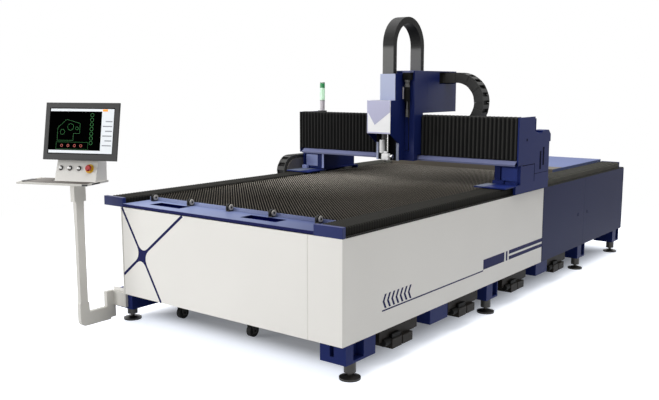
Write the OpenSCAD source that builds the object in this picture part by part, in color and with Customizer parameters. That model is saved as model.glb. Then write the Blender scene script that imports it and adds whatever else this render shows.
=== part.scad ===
// Flat bed laser cutting machine: open bed with slats, moving gantry, cutting head, console and slag cart.
// Millimetres, +Z up, floor at z = 0, front of the machine towards -Y.

/* [Bed] */
// Half of the width over the two rail decks
rail_half = 1080; // [1040:5:1140]
// Width of one rail deck
rail_w = 210; // [200:2:230]
// Length of the bed, front plane to rear wall
bed_len = 4920; // [4860:10:5200]
// Length of the light front section
front_len = 2830; // [2800:5:2880]
// Height of the rail deck top
deck_z = 890; // [880:1:910]
// Thickness of a rail deck
deck_t = 8; // [6:1:12]
// Lower edge of the body panels
panel_z = 245; // [240:1:256]
// Thickness of the body panels
panel_t = 12; // [8:1:14]
// Height of the rail end blocks
block_h = 58; // [54:1:64]
// Depth of the front lip
lip_y = 250; // [244:1:254]
// Thickness of the front lip
lip_t = 20; // [14:1:24]

/* [Feet] */
// Diameter of a foot pad
foot_d = 133; // [100:1:145]
// Height of the foot brackets above the floor
foot_z = 116; // [110:1:130]
// Diameter of the levelling stud
stud_d = 28; // [20:1:36]

/* [Slats] */
// Distance from slat to slat
slat_pitch = 50; // [48:1:70]
// Thickness of a slat
slat_t = 3; // [2:0.5:5]
// Height of a slat with its teeth
slat_h = 130; // [110:1:136]
// Height of the teeth
tooth_h = 28; // [18:1:34]
// Teeth along a slat
tooth_n = 22; // [14:1:24]

/* [Bellows] */
// Distance from pleat to pleat on the rail decks
pleat_y = 28; // [24:1:40]
// Distance from pleat to pleat on the beam
pleat_x = 36; // [30:1:44]
// Depth of a pleat
pleat_d = 14; // [8:1:15]

/* [Gantry] */
// Front plane of the gantry where it stands now
gantry_y = 2250; // [2100:5:2300]
// Underside of the cross beam
beam_z = 1110; // [1104:1:1120]
// Height of the cross beam
beam_h = 360; // [350:1:366]
// Depth of the cross beam
beam_d = 270; // [260:1:280]
// Where the carriage stands now, from the middle
carriage_x = 55; // [-60:5:100]
// Half of the width of the carriage column
column_half = 160; // [150:1:170]
// Top of the carriage column
column_z = 1857; // [1850:1:1870]

/* [Head] */
// Height of the nozzle tip
nozzle_z = 1100; // [1080:1:1110]
// Width of the head cover
head_w = 230; // [210:1:250]
// Diameter of the cutting head body
head_d = 62; // [50:1:70]

/* [Chains] */
// Outer radius of the long chain on the beam
chain_x_r = 257; // [250:1:260]
// Link height of the long chain on the beam
chain_x_t = 88; // [80:1:92]
// Link height of the chain over the head
chain_z_t = 54; // [46:1:58]
// Outer radius of the chain along the bed
chain_y_r = 150; // [140:1:156]
// Link height of the chain along the bed
chain_y_t = 56; // [48:1:62]

/* [Console] */
// How far the console is turned towards the right
console_yaw = 21.5; // [10:0.5:30]
// Top of the keyboard tray
tray_z = 1062; // [1050:1:1080]
// Width of the keyboard tray
tray_w = 567; // [550:1:600]
// Width of the monitor
monitor_w = 595; // [580:1:620]
// Height of the monitor
monitor_h = 410; // [400:1:430]

/* [Cart] */
// Gap between the slag bin and the rear section
bin_gap = 230; // [180:5:330]
// Height of the slag bin rim
bin_z = 560; // [500:5:600]
// Diameter of a cart wheel
wheel_d = 90; // [80:1:99]

/* [Clearances] */
// Gap between two parts that slide on each other
slide_gap = 0.3; // [0.2:0.05:0.5]
// Gap between the welded members of the bed
weld_gap = 0.05; // [0.02:0.01:0.1]
// Gap around the axles
axle_gap = 0.5; // [0.3:0.1:0.8]

/* [Hidden] */
$fn = 48;
e = 0.01;

white = [0.91, 0.90, 0.88];
navy = [0.13, 0.17, 0.40];
pale = [0.60, 0.65, 0.82];
dark = [0.16, 0.16, 0.16];
grey = [0.45, 0.45, 0.46];
steel = [0.62, 0.62, 0.60];
putty = [0.80, 0.79, 0.77];

rail_in = rail_half - rail_w;
deck_z0 = deck_z - deck_t;
deck_out = rail_half - panel_t - 1;
beam_in = rail_in + 15;
beam_out = rail_half - 25;
beam_y0 = 300;
beam_y1 = bed_len - panel_t;
top_tube_z0 = 660;
low_tube_z0 = 250;
low_tube_z1 = 330;
wall = 10;
cross_z1 = 740;
lip_z1 = deck_z - 3 + lip_t;
bay = front_len / 283;
door_ym = front_len + (bed_len - front_len) * 97 / 209;
rear_bay = (door_ym - front_len) / 97;
foot_x = rail_half - 66;
foot_ys = [166, 194 * bay, door_ym + 10, bed_len - 120];
cross_ys = [70 * bay, 150 * bay, 230 * bay, front_len + 220, bed_len - 1220, bed_len - 520];
bracket_in = rail_in + 2;
bracket_out = rail_half - 14;
bracket_y = 55;
seam_x = rail_in - 44;
panel_left = rail_in + 12;
panel_z1 = deck_z0 - slide_gap;
slat_top = deck_z + 48;
slat_y0 = 266;
cover_y0 = door_ym - 300;
slat_y1 = cover_y0 - 60;
slat_n = floor((slat_y1 - slat_y0) / slat_pitch);
slat_half = rail_in - 8;
comb_xs = [-(rail_in - 27), 0, rail_in - 27];
comb_z1 = slat_top - slat_h + 42;
rail_mid = (rail_in + deck_out) / 2;
rail_hw = 17;
rail_top = deck_z + 30;
bell_z0 = deck_z + slide_gap;
bell_z1 = deck_z + 55;
bell_in = rail_in + 10;
bell_out = deck_out - 2;
rear_block_y = bed_len - 130;
cover_z1 = deck_z + 78;

gantry_half = rail_half + 24;
leg_y0 = gantry_y + 50;
leg_y1 = gantry_y + 600;
base_y0 = gantry_y - 200;
base_z = deck_z + 60;
leg_z0 = base_z + 10;
leg_in = gantry_half - 198;
cover_x = gantry_half - 12;
beam_yf = gantry_y + 80;
beam_yr = beam_yf + beam_d;
beam_z1 = beam_z + beam_h;
xbell_z0 = beam_z + 45;
xbell_z1 = beam_z1 + 23;
house_in = gantry_half - 108;
house_z1 = beam_z + 245;

col_l = carriage_x - column_half;
col_r = carriage_x + column_half;
col_yf = gantry_y - 100;
col_yr = gantry_y + 40;
hood_z0 = xbell_z1 + 12;
hood_y1 = gantry_y + 600;
slide_x = carriage_x - 5;
slide_yf = col_yf - 150;
head_x = carriage_x - 48;
head_yf = col_yf - 220;
head_z0 = nozzle_z + 242;
head_z1 = head_z0 + 272;
slide_z1 = 1830;
axis_y = col_yf - 120;
plate_y = axis_y + head_d / 2 + 3;
head_plate_t = 3;
cover_t = 8;

chain_x_c = col_r + 115;
chain_x_z = column_z - 12 - chain_x_r;
chain_x_y0 = gantry_y + 400;
chain_x_w = 120;
chain_x_in = chain_x_r - chain_x_t;
chain_x_fix = -150;
tray_x_z = chain_x_z - chain_x_r;
chain_z_w = 104;
chain_z_f = slide_yf + 32 + chain_z_t / 2;
chain_z_b = chain_z_f + 430;
chain_z_r = (chain_z_b - chain_z_f) / 2;
chain_z_c = 2062;
chain_y_z0 = 786;
chain_y_c = chain_y_z0 + chain_y_r;
chain_y_f = gantry_y - 66;
chain_y_x = gantry_half + 12;
chain_y_w = 90;
chain_y_end = gantry_y + 760;
chain_y_fix = gantry_y + 820;

pole_x = -(bracket_out + 18);
pole_y = -214;
tray_t = 14;
spigot_d = 29;
spigot_h = 36;
tray_r = 120;
tray_f = -78;
tray_b = 205;
box_l = -222;
box_r = 110;
box_f = 50;
box_b = 200;
box_tilt = 20;
monitor_z = tray_z + 152.5;
monitor_tilt = 11;
monitor_u = -14;
monitor_t = 45;
monitor_v = box_f;
button_us = [-187, -113, -38];
stop_u = 49;
face_h = 96;

cart_y0 = 60;
wheel_xs = [-(rail_in - 150), 0, rail_in - 150];
wheel_z = wheel_d / 2 + 0.5;
wheel_w = 36;
axle_d = 16;
bin_len = front_len - cart_y0 - bin_gap;
wheel_ys = [400, cart_y0 + bin_len - 200];
bin_half = rail_in - 90;
bin_z0 = 252;

door_y0 = front_len + 4;
door_y1 = bed_len - panel_t - 4;
door_z0 = panel_z;
door_z1 = panel_z1;
latch_z = 548;

tray_l = tray_r - tray_w;
x_min = pole_x + tray_l * cos(console_yaw) - tray_b * sin(console_yaw);
y_min = pole_y + tray_l * sin(console_yaw) + tray_f * cos(console_yaw);
off_x = -(x_min + gantry_half) / 2;
off_y = -(y_min + bed_len) / 2;

// A block between two corners
module bx(x0, x1, y0, y1, z0, z1) {
  translate([x0, y0, z0])
    cube([x1 - x0, y1 - y0, z1 - z0]);
}

// The same shape on both sides
module both() {
  children();
  mirror([1, 0, 0])
    children();
}

// The machine stands on the origin
module place() {
  translate([off_x, off_y, 0])
    children();
}

// Local frame of the console, turned on its pole
module turned() {
  translate([pole_x, pole_y, 0])
    rotate([0, 0, console_yaw])
      children();
}

// Local frame of the sloped face with the buttons
module on_face(u, h) {
  turned()
    translate([u, box_f, tray_z])
      rotate([90 - box_tilt, 0, 0])
        translate([0, h, 0])
          children();
}

// Local frame of the monitor: x across, y up, z out of the screen
module on_monitor() {
  turned()
    translate([monitor_u, monitor_v, monitor_z])
      rotate([90 - monitor_tilt, 0, 0])
        children();
}

// Side profile in y and z, drawn out along x
module along_x(x0, x1) {
  translate([x0, 0, 0])
    rotate([90, 0, 90])
      linear_extrude(height = x1 - x0)
        children();
}

// Front profile in x and z, drawn out along y
module along_y(y0, y1) {
  translate([0, y1, 0])
    rotate([90, 0, 0])
      linear_extrude(height = y1 - y0)
        children();
}

// Zigzag of a bellows from a to b with its flat side at base
module zigzag(a, b, base, crest, pitch, depth) {
  n = max(2, round((b - a) / pitch));
  p = (b - a) / n;
  polygon(concat([[a, base]],
    [for (i = [0 : n - 1], k = [0, 1]) [a + p * (i + k / 2), k == 0 ? crest - depth : crest]],
    [[b, crest - depth], [b, base]]));
}

// A square tube along y
module tube(x0, x1, z0, z1) {
  difference() {
    bx(x0, x1, beam_y0, beam_y1, z0, z1);
    bx(x0 + wall, x1 - wall, beam_y0 - 1, beam_y1 + 1, z0 + wall, z1 - wall);
  }
}

module bed_frame() {
  post_ys = [beam_y0, foot_ys[1] - 60, front_len + 14, foot_ys[2] - 60, foot_ys[3] - 40];
  block_ys = [[102 * bay, 126 * bay], [front_len - 6 * bay, front_len + 18 * rear_bay]];
  stop_ys = [front_len + 20, door_ym - 60, door_ym + 30, bed_len - 60];
  bracket_z1 = low_tube_z0 - weld_gap;
  color(navy) place() {
    both() {
      tube(beam_in, beam_out, top_tube_z0, deck_z0);
      tube(beam_in, beam_out, low_tube_z0, low_tube_z1);
      for (y = post_ys)
        bx(beam_in + 25, beam_out - 25, y, y + 120, low_tube_z1 + weld_gap, top_tube_z0 - weld_gap);
      difference() {
        bx(bracket_in, bracket_out, bracket_y, beam_y0 + 60, foot_z, bracket_z1);
        bx(bracket_in + 75, bracket_in + 105, bracket_y - 5, bracket_y + 35, foot_z + 40, low_tube_z0 + 1);
        bx(bracket_out - 60, bracket_out + 1, 130, 235, foot_z + 16, low_tube_z0 + 1);
      }
      for (i = [1 : 3])
        difference() {
          bx(bracket_in, bracket_out, foot_ys[i] - 95, foot_ys[i] + 95, foot_z, bracket_z1);
          bx(bracket_out - 50, bracket_out + 1, foot_ys[i] + 5, foot_ys[i] + 80, foot_z + 14, low_tube_z0 - 8);
        }
      bx(rail_in - 4, beam_in - weld_gap, lip_y - 50, beam_y0 + 30, 800, deck_z0);
      for (y = block_ys)
        bx(beam_in + 60, bracket_out - 6, y[0], y[1], foot_z + 15, bracket_z1);
      for (y = stop_ys, z = [low_tube_z0 + 20, top_tube_z0 + 100])
        bx(beam_out + weld_gap, rail_half - panel_t, y, y + 30, z, z + 40);
    }
    for (y = cross_ys)
      difference() {
        bx(-beam_in + weld_gap, beam_in - weld_gap, y, y + 80, top_tube_z0 + 2, cross_z1);
        bx(-beam_in + 8, beam_in - 8, y + 8, y + 72, top_tube_z0 + 10, cross_z1 - 8);
      }
    bx(-rail_in + 1, rail_in - 1, lip_y - 50, lip_y, 800, deck_z - 3);
  }
}

module rail_decks() {
  color(navy) place()
    both() {
      bx(rail_in, deck_out, 0, beam_y1, deck_z0, deck_z);
      bx(rail_in, rail_half, 0, 30, deck_z0, deck_z + block_h);
      bx(rail_in + 10, deck_out, rear_block_y, rear_block_y + 20, deck_z - e, deck_z + block_h);
    }
}

module y_rails() {
  color(steel) place()
    both()
      difference() {
        bx(rail_mid - rail_hw, rail_mid + rail_hw, 60, rear_block_y - 20, deck_z, rail_top);
        for (s = [-1, 1])
          translate([rail_mid + s * (rail_hw + 3), 50, rail_top - 12])
            rotate([-90, 0, 0])
              cylinder(d = 12, h = bed_len);
      }
}

module front_lip() {
  color(pale) place()
    difference() {
      bx(-rail_in + 1, rail_in - 1, 0, lip_y, deck_z - 3, lip_z1);
      for (x = [-rail_in + 185, rail_in - 675])
        bx(x, x + 305, 92, 196, deck_z - 10, lip_z1 + 1);
    }
}

roller_n = 5;
roller_s = (rail_in - 108) / 2;
roller_x = 32;
roller_hw = 15;
roller_y = 224;
roller_d = 44;
roller_z = lip_z1 + 6 + roller_d / 2;

module roller_brackets() {
  color(dark) place()
    for (i = [0 : roller_n - 1])
      translate([(i - 2) * roller_s - roller_x, roller_y, 0])
        difference() {
          bx(-roller_hw, roller_hw, -18, 18, lip_z1, roller_z + 8);
          bx(-roller_hw + 5, roller_hw - 5, -19, 19, lip_z1 + 4, roller_z + 9);
          translate([-roller_hw - 1, 0, roller_z])
            rotate([0, 90, 0])
              cylinder(d = 10 + 2 * axle_gap, h = 2 * roller_hw + 2);
        }
}

module loading_rollers() {
  color(steel) place()
    for (i = [0 : roller_n - 1])
      translate([(i - 2) * roller_s - roller_x, roller_y, roller_z])
        rotate([0, 90, 0]) {
          cylinder(d = roller_d, h = 2 * roller_hw - 16, center = true);
          cylinder(d = 10, h = 2 * roller_hw - 1, center = true);
        }
}

module right_side_cover() {
  color(white) place() {
    bx(rail_half - panel_t, rail_half, 0, front_len, panel_z, panel_z1);
    bx(seam_x, rail_half - 1, 0, panel_t, panel_z, panel_z1);
    for (z = [low_tube_z1 - 40, deck_z0 - 60])
      bx(beam_out, rail_half - panel_t + e, beam_y0 + 20, front_len - 20, z, z + 20);
  }
}

module left_side_cover() {
  color(white) place() {
    bx(-rail_half, -rail_half + panel_t, beam_y0 - panel_t, front_len, panel_z + 8, deck_z0 - 2);
    bx(-rail_half, -panel_left - 4, beam_y0 - panel_t, beam_y0, panel_z + 8, deck_z0);
    bx(-panel_left - 4 - panel_t, -panel_left - 4, 6, beam_y0, panel_z + 8, deck_z0);
    bx(-panel_left - 22, -panel_left - 4, 6, 6 + panel_t, panel_z + 8, deck_z0);
  }
}

module slat_profile() {
  w = 2 * slat_half / tooth_n;
  polygon(concat([[-slat_half, slat_top - slat_h], [-slat_half, slat_top - tooth_h]],
    [for (i = [0 : tooth_n - 1], k = [0, 1])
      k == 0 ? [-slat_half + w * (i + 0.5), slat_top] : [-slat_half + w * (i + 1), slat_top - tooth_h]],
    [[slat_half, slat_top - slat_h]]));
}

module slats() {
  color(steel) place()
    for (i = [0 : slat_n])
      along_y(slat_y0 + i * slat_pitch, slat_y0 + i * slat_pitch + slat_t)
        slat_profile();
}

module slat_combs() {
  s = slat_t / 2 + slide_gap;
  zs = slat_top - slat_h;
  color(grey) place()
    for (x = comb_xs)
      along_x(x - 6, x + 6)
        polygon(concat([[slat_y0 - 12, cross_z1], [slat_y0 - 12, comb_z1]],
          [for (i = [0 : slat_n], k = [0 : 3])
            [slat_y0 + slat_t / 2 + i * slat_pitch + (k < 2 ? -s : s), k == 0 || k == 3 ? comb_z1 : zs]],
          [[slat_y0 + slat_n * slat_pitch + 16, comb_z1], [slat_y0 + slat_n * slat_pitch + 16, cross_z1]]));
}

module rail_bellows(y0, y1) {
  difference() {
    along_x(bell_in, bell_out)
      zigzag(y0, y1, bell_z0, bell_z1, pleat_y, pleat_d);
    bx(rail_mid - rail_hw - 8, rail_mid + rail_hw + 8, y0 - 1, y1 + 1, bell_z0 - 1, rail_top + 5);
  }
}

bell_f1 = leg_y0 - 40;
bell_r0 = leg_y1 + 30;

module bellows_front_right() {
  color(dark) place()
    rail_bellows(30, bell_f1);
}

module bellows_front_left() {
  color(dark) place()
    mirror([1, 0, 0])
      rail_bellows(30, bell_f1);
}

module bellows_rear_right() {
  color(dark) place()
    rail_bellows(bell_r0, rear_block_y);
}

module bellows_rear_left() {
  color(dark) place()
    mirror([1, 0, 0])
      rail_bellows(bell_r0, rear_block_y);
}

module rear_cabinet() {
  color(navy) place() {
    bx(-rail_half, rail_half, bed_len - panel_t, bed_len, panel_z, panel_z1);
    bx(-rail_half, -rail_half + panel_t, front_len + 4, bed_len, panel_z, panel_z1);
    bx(-beam_in + weld_gap, beam_in - weld_gap, front_len + 10, bed_len - panel_t + e, low_tube_z0, low_tube_z0 + 6);
    bx(-beam_in + weld_gap, beam_in - weld_gap, front_len + 10, front_len + 22, low_tube_z0, top_tube_z0 - 6);
  }
}

module rear_top_cover() {
  color(pale) place()
    difference() {
      bx(-rail_in - 8, rail_in + 8, cover_y0, rear_block_y, deck_z, cover_z1);
      bx(-rail_in + 4, rail_in - 4, cover_y0 + 12, rear_block_y - 12, deck_z - 1, cover_z1 - 12);
    }
}

module laser_source() {
  z0 = low_tube_z0 + 6;
  x1 = rail_in - 10;
  y0 = front_len + 190;
  len = door_ym - 140 - y0;
  color(putty) place()
    difference() {
      bx(x1 - 600, x1, y0, y0 + len, z0, z0 + 330);
      for (i = [0 : 9])
        bx(x1 - 5, x1 + 1, y0 + len / 16, y0 + len * 7 / 16, z0 + 40 + i * 24, z0 + 52 + i * 24);
      bx(x1 - 5, x1 + 1, y0 + len * 17 / 32, y0 + len * 15 / 16, z0 + 60, z0 + 280);
    }
}

module control_plate() {
  z0 = low_tube_z0 + 6;
  x0 = rail_in - 230;
  x1 = x0 + 6;
  y0 = door_ym + 100;
  y1 = bed_len - 160;
  u = (y1 - y0) / 86;
  color(putty) place() {
    bx(x0, x1, y0, y1, z0, z0 + 380);
    bx(x0, x1 + 134, y0, y1, z0, z0 + 6);
    for (i = [0 : 2])
      bx(x1 - e, x1 + 114, y0 + (3 + i * 19) * u, y0 + (19 + i * 19) * u, z0 + 190, z0 + 360);
    for (i = [0 : 9])
      bx(x1 - e, x1 + 70, y0 + (3 + i * 5.6) * u, y0 + (7 + i * 5.6) * u, z0 + 60, z0 + 140);
    bx(x1 - e, x1 + 134, y0 + 64 * u, y0 + 83 * u, z0 + 40, z0 + 360);
  }
}

damper_ys = [66 * bay, 152.3 * bay, 238.6 * bay, front_len + 41.9 * rear_bay];

module exhaust_dampers() {
  color(dark) place()
    for (i = [0 : 3])
      let (y = damper_ys[i], u = i < 3 ? bay : rear_bay) {
        bx(beam_out - 60, beam_out - 10, y - 23 * u, y + 18 * u, low_tube_z0 - 98, low_tube_z0);
        bx(beam_out - 120, rail_half - 4, y - 12.7 * u, y - 1.5 * u, foot_z - 20, low_tube_z0 - 90);
        bx(beam_out - 120, rail_half - 4, y - 0.5 * u, y + 11.4 * u, foot_z - 18, low_tube_z0 - 94);
      }
}

module leveling_feet() {
  color(dark) place()
    both()
      for (y = foot_ys)
        translate([foot_x, y, 0]) {
          cylinder(d = foot_d, h = 14);
          translate([0, 0, 14 - e])
            cylinder(d1 = foot_d - 6, d2 = stud_d + 30, h = 12);
          cylinder(d = stud_d, h = foot_z);
          translate([0, 0, 44])
            cylinder(d = 76, h = foot_z - 44);
        }
}

module y_chain_tray() {
  y0 = chain_y_f - 1184;
  y1 = bed_len - 720;
  x0 = -chain_y_x - chain_y_w - 16;
  color(navy) place() {
    bx(x0, -rail_half, y0, y1, chain_y_z0 - 8, chain_y_z0 - 0.2);
    bx(x0, x0 + 4, y0, y1, chain_y_z0 - 8, chain_y_z0 + 50);
    bx(-chain_y_x - chain_y_w, -chain_y_x, chain_y_fix, chain_y_fix + 16, chain_y_z0 - 8, chain_y_z0 + 40);
  }
}

// One chain seen from the side: two straight runs of lengths a and b and a half turn of radius r between them
module chain_outline(a, b, r, t, pitch) {
  ri = r - t;
  cut = 4;
  na = max(1, round(a / pitch));
  nb = max(1, round(b / pitch));
  nr = max(4, round(3.1416 * (r - t / 2) / pitch));
  difference() {
    union() {
      translate([-a, ri])
        square([a + e, t]);
      translate([-b, -r])
        square([b + e, t]);
      intersection() {
        difference() {
          circle(r = r, $fn = 96);
          circle(r = ri, $fn = 96);
        }
        translate([0, -r - 1])
          square([r + 2, 2 * r + 2]);
      }
    }
    for (i = [1 : na])
      for (h = [ri - 1, r - 4])
        translate([-i * a / na + a / na / 2, h])
          square([cut, 5]);
    for (i = [1 : nb])
      for (h = [-r - 1, -ri - 4])
        translate([-i * b / nb + b / nb / 2, h])
          square([cut, 5]);
    for (i = [0 : nr])
      rotate(-90 + i * 180 / nr)
        for (h = [ri - 1, r - 4])
          translate([h, -cut / 2])
            square([5, cut]);
  }
}

// The hollow inside such a chain
module chain_core(a, b, r, t) {
  m = 9;
  translate([-a - 1, r - t + m])
    square([a + 1 + e, t - 2 * m]);
  translate([-b - 1, -r + m])
    square([b + 1 + e, t - 2 * m]);
  intersection() {
    difference() {
      circle(r = r - m, $fn = 96);
      circle(r = r - t + m, $fn = 96);
    }
    translate([0, -r - 1])
      square([r + 2, 2 * r + 2]);
  }
}

module chain_solid(a, b, r, t, w, pitch) {
  difference() {
    linear_extrude(height = w)
      chain_outline(a, b, r, t, pitch);
    translate([0, 0, 9])
      linear_extrude(height = w - 18)
        chain_core(a, b, r, t);
  }
}

module y_chain() {
  a = chain_y_end - chain_y_f;
  b = chain_y_fix - chain_y_f;
  color(dark) place()
    translate([-chain_y_x, chain_y_f, chain_y_c])
      rotate([90, 0, -90])
        chain_solid(a, b, chain_y_r, chain_y_t, chain_y_w, 66);
}

module console_arm() {
  x0 = -(bracket_out + 36);
  x1 = -bracket_out;
  z1 = tray_z - tray_t;
  y0 = pole_y - 36;
  y1 = bracket_y;
  r = 46;
  color(putty) place() {
    along_x(x0, x1)
      polygon(concat([for (i = [0 : 6]) [y0 + r - r * sin(i * 15), 22 + r - r * cos(i * 15)]],
        [[y0, 190], [pole_y - 31, 200], [pole_y - 31, z1 - 100], [pole_y + 31, z1 - 100], [pole_y + 31, 200],
          [pole_y + 42, 190], [pole_y + 42, 122], [y1 - 76, 122], [y1 - 76, 236], [y1, 236], [y1, 36], [y1 - 40, 36],
          [y1 - 50, 22]]));
    bx(x1 - e, x1 + 145, y1 - 21, y1, 130, 236);
    difference() {
      bx(x0 - 5, x1 + 5, pole_y - 47, pole_y + 47, z1 - 118, z1);
      translate([pole_x, pole_y, z1 - spigot_h])
        cylinder(d = spigot_d + 2 * axle_gap, h = spigot_h + 1);
    }
  }
}

module gantry_beam() {
  color(navy) place() {
    difference() {
      bx(-cover_x, cover_x, beam_yf, beam_yr, beam_z, beam_z1);
      bx(-cover_x - 1, cover_x + 1, beam_yf + 12, beam_yr - 12, beam_z + 12, beam_z1 - 12);
    }
    along_x(-gantry_half + 84, gantry_half - 84)
      polygon([[gantry_y - 36, beam_z + 2], [gantry_y - 36, beam_z + 14], [gantry_y, xbell_z0 - 5],
        [beam_yf + e, xbell_z0 - 5], [beam_yf + e, beam_z + 2]]);
  }
}

module gantry_legs() {
  color(navy) place() {
    both() {
      bx(rail_in - 40, gantry_half - 6, base_y0, leg_y0 - 10, base_z, leg_z0);
      bx(rail_in + 14, gantry_half - 6, leg_y0 - 10 - e, leg_y1 + 30, base_z, leg_z0);
      difference() {
        bx(leg_in, gantry_half, leg_y0, leg_y1, leg_z0 - e, beam_z);
        bx(leg_in + 24, gantry_half - 24, leg_y0 - 1, leg_y0 + 16, leg_z0 + 20, beam_z - 16);
      }
      bx(rail_half + 2, gantry_half, leg_y0 - 83, leg_y1, deck_z + 2, leg_z0 + e);
      bx(bell_in, bell_out, bell_f1, bell_f1 + 8, rail_top + 1, base_z + e);
      bx(bell_in, bell_out, bell_r0 - 8, bell_r0, rail_top + 1, base_z + e);
    }
    bx(-chain_y_x - chain_y_w, -gantry_half + e, leg_y1 - 80, chain_y_end,
      chain_y_c + chain_y_r - chain_y_t - 12, chain_y_c + chain_y_r - chain_y_t);
  }
}

module end_covers() {
  y3 = leg_y1;
  color(navy) place()
    both() {
      difference() {
        along_x(cover_x, gantry_half)
          polygon([[gantry_y, beam_z + 4], [gantry_y, beam_z1 + 20], [gantry_y + 300, beam_z1 + 20],
            [gantry_y + 300, house_z1 + 22], [gantry_y + 352, house_z1], [y3, house_z1], [y3, beam_z],
            [gantry_y + 140, beam_z], [gantry_y + 120, beam_z + 4]]);
        translate([cover_x - 1, gantry_y + 150, beam_z + 200])
          rotate([0, 90, 0])
            cylinder(d = 14, h = 20);
      }
      difference() {
        bx(house_in, cover_x + e, beam_yr, y3, beam_z, house_z1);
        bx(house_in + 8, cover_x + 1, beam_yr + 8, y3 - 8, beam_z - 1, house_z1 - 8);
      }
      along_x(house_in + 20, gantry_half)
        polygon([[y3 - 150, house_z1 - e], [y3 - 150, house_z1 + 18], [y3 - 20, house_z1 + 18],
          [y3 + 24, house_z1 - 20], [y3 + 24, house_z1 - 80], [y3 - e, house_z1 - 80], [y3 - e, house_z1 - e]]);
    }
}

module y_motors() {
  xm = (house_in + cover_x) / 2;
  ym = beam_yr + 125;
  color(grey) place()
    both()
      translate([xm, ym, beam_z]) {
        bx(-38, 38, -60, 60, 0, 40);
        translate([0, 0, 40 - e])
          cylinder(d = 74, h = 160);
      }
}

module y_guide_blocks() {
  color(steel) place()
    both()
      for (y = [leg_y0, leg_y1 - 120])
        difference() {
          bx(rail_mid - 42, rail_mid + 42, y, y + 120, deck_z + 14, base_z);
          bx(rail_mid - rail_hw - slide_gap, rail_mid + rail_hw + slide_gap, y - 1, y + 121,
            deck_z, rail_top + slide_gap);
        }
}

xrail_zs = [beam_z + 105, beam_z + 275];

module x_rails() {
  color(steel) place()
    for (z = xrail_zs)
      bx(-cover_x + 8, cover_x - 8, beam_yf - 18, beam_yf, z, z + 30);
}

module x_chain_tray() {
  color(navy) place() {
    bx(chain_x_fix - 16, house_in - 6, beam_yr, chain_x_y0 + chain_x_w + 14, tray_x_z - 12, tray_x_z - 0.2);
    bx(chain_x_fix - 16, house_in - 6, chain_x_y0 + chain_x_w + 8, chain_x_y0 + chain_x_w + 14, tray_x_z - 12,
      tray_x_z + 40);
    bx(chain_x_fix - 16, chain_x_fix, chain_x_y0, chain_x_y0 + chain_x_w, tray_x_z - 12, tray_x_z + 60);
    for (x = [chain_x_fix + 10, (chain_x_fix + house_in) / 2 - 3, house_in - 116])
      along_x(x, x + 10)
        polygon([[beam_yr, tray_x_z - 12 + e], [chain_x_y0 + 100, tray_x_z - 12 + e], [beam_yr, beam_z + 60]]);
  }
}

module beam_bellows(x0, x1) {
  difference() {
    translate([0, 0, xbell_z0])
      linear_extrude(height = xbell_z1 - xbell_z0)
        mirror([0, 1])
          zigzag(x0, x1, -(beam_yf - slide_gap), -gantry_y, pleat_x, pleat_d);
    bx(x0 - 1, x1 + 1, beam_yf - 50, beam_yf + 1, xbell_z0 + 26, xbell_z1 - 26);
  }
}

module x_bellows_left() {
  color(dark) place()
    beam_bellows(-cover_x, col_l);
}

module x_bellows_right() {
  color(dark) place()
    beam_bellows(col_r, cover_x);
}

module x_chain() {
  a = chain_x_c - col_l - 10;
  b = chain_x_c - chain_x_fix;
  color(dark) place()
    translate([chain_x_c, chain_x_y0 + chain_x_w, chain_x_z])
      rotate([90, 0, 0])
        chain_solid(a, b, chain_x_r, chain_x_t, chain_x_w, 58);
}

tower_x = -(gantry_half - 122);
tower_y = beam_yf + 110;

module signal_tower() {
  color(dark) place()
    translate([tower_x, tower_y, beam_z1]) {
      cylinder(d = 80, h = 26);
      cylinder(d = 44, h = 120);
    }
}

module signal_light() {
  color([0.25, 0.85, 0.35]) place()
    translate([tower_x, tower_y, beam_z1 + 120]) {
      cylinder(d = 46, h = 165);
      translate([0, 0, 165 - e])
        cylinder(d1 = 46, d2 = 34, h = 10);
    }
}

module column() {
  color(navy) place()
    difference() {
      union() {
        bx(col_l, col_r, col_yf, gantry_y - 42, beam_z, hood_z0);
        bx(col_l, col_r, gantry_y - 42 - e, col_yr, xbell_z0 + 3, hood_z0);
        bx(col_l, col_r, col_yf, col_yr + 60, hood_z0 - e, column_z);
      }
      bx(slide_x + 30, col_r - 50, col_yf - 1, col_yf + 96, xbell_z0 + 40, column_z - 28);
      bx(col_l + 40, col_r - 40, col_yf + 108, col_yr + 61, hood_z0 + 16, column_z - 14);
    }
}

module carriage_cover() {
  y0 = col_yr + 60;
  color(navy) place()
    difference() {
      bx(col_l, col_r, y0, hood_y1, hood_z0, column_z);
      bx(col_l + 10, col_r - 10, y0 - 1, hood_y1 - 10, hood_z0 - 1, column_z - 8);
      bx(col_r - 20, col_r + 1, chain_x_y0 - 98, hood_y1 - 20, chain_x_z + chain_x_in - 8, column_z - 9);
    }
}

module x_guide_blocks() {
  color(steel) place()
    for (z = xrail_zs, x = [col_l + 20, col_r - 100])
      difference() {
        bx(x, x + 80, col_yr, beam_yf - 6, z - 18, z + 48);
        bx(x - 1, x + 81, beam_yf - 18 - slide_gap, beam_yf, z - slide_gap, z + 30 + slide_gap);
      }
}

screw_x = (slide_x + 30 + col_r - 50) / 2;

module z_motor() {
  color(steel) place() {
    bx(screw_x - 24, screw_x + 24, col_yf + 30, col_yf + 96, column_z - 170, column_z - 28);
    translate([screw_x, col_yf + 62, xbell_z0 + 40])
      cylinder(d = 22, h = column_z - 210 - xbell_z0 + e);
  }
}

module z_chain() {
  a = chain_z_c - column_z;
  b = chain_z_c - slide_z1;
  color(dark) place()
    translate([slide_x - 24 - chain_z_w / 2, (chain_z_f + chain_z_b) / 2, chain_z_c])
      rotate([90, -90, 90])
        mirror([0, 1, 0])
          chain_solid(a, b, chain_z_r + chain_z_t / 2, chain_z_t, chain_z_w, 46);
}

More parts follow.
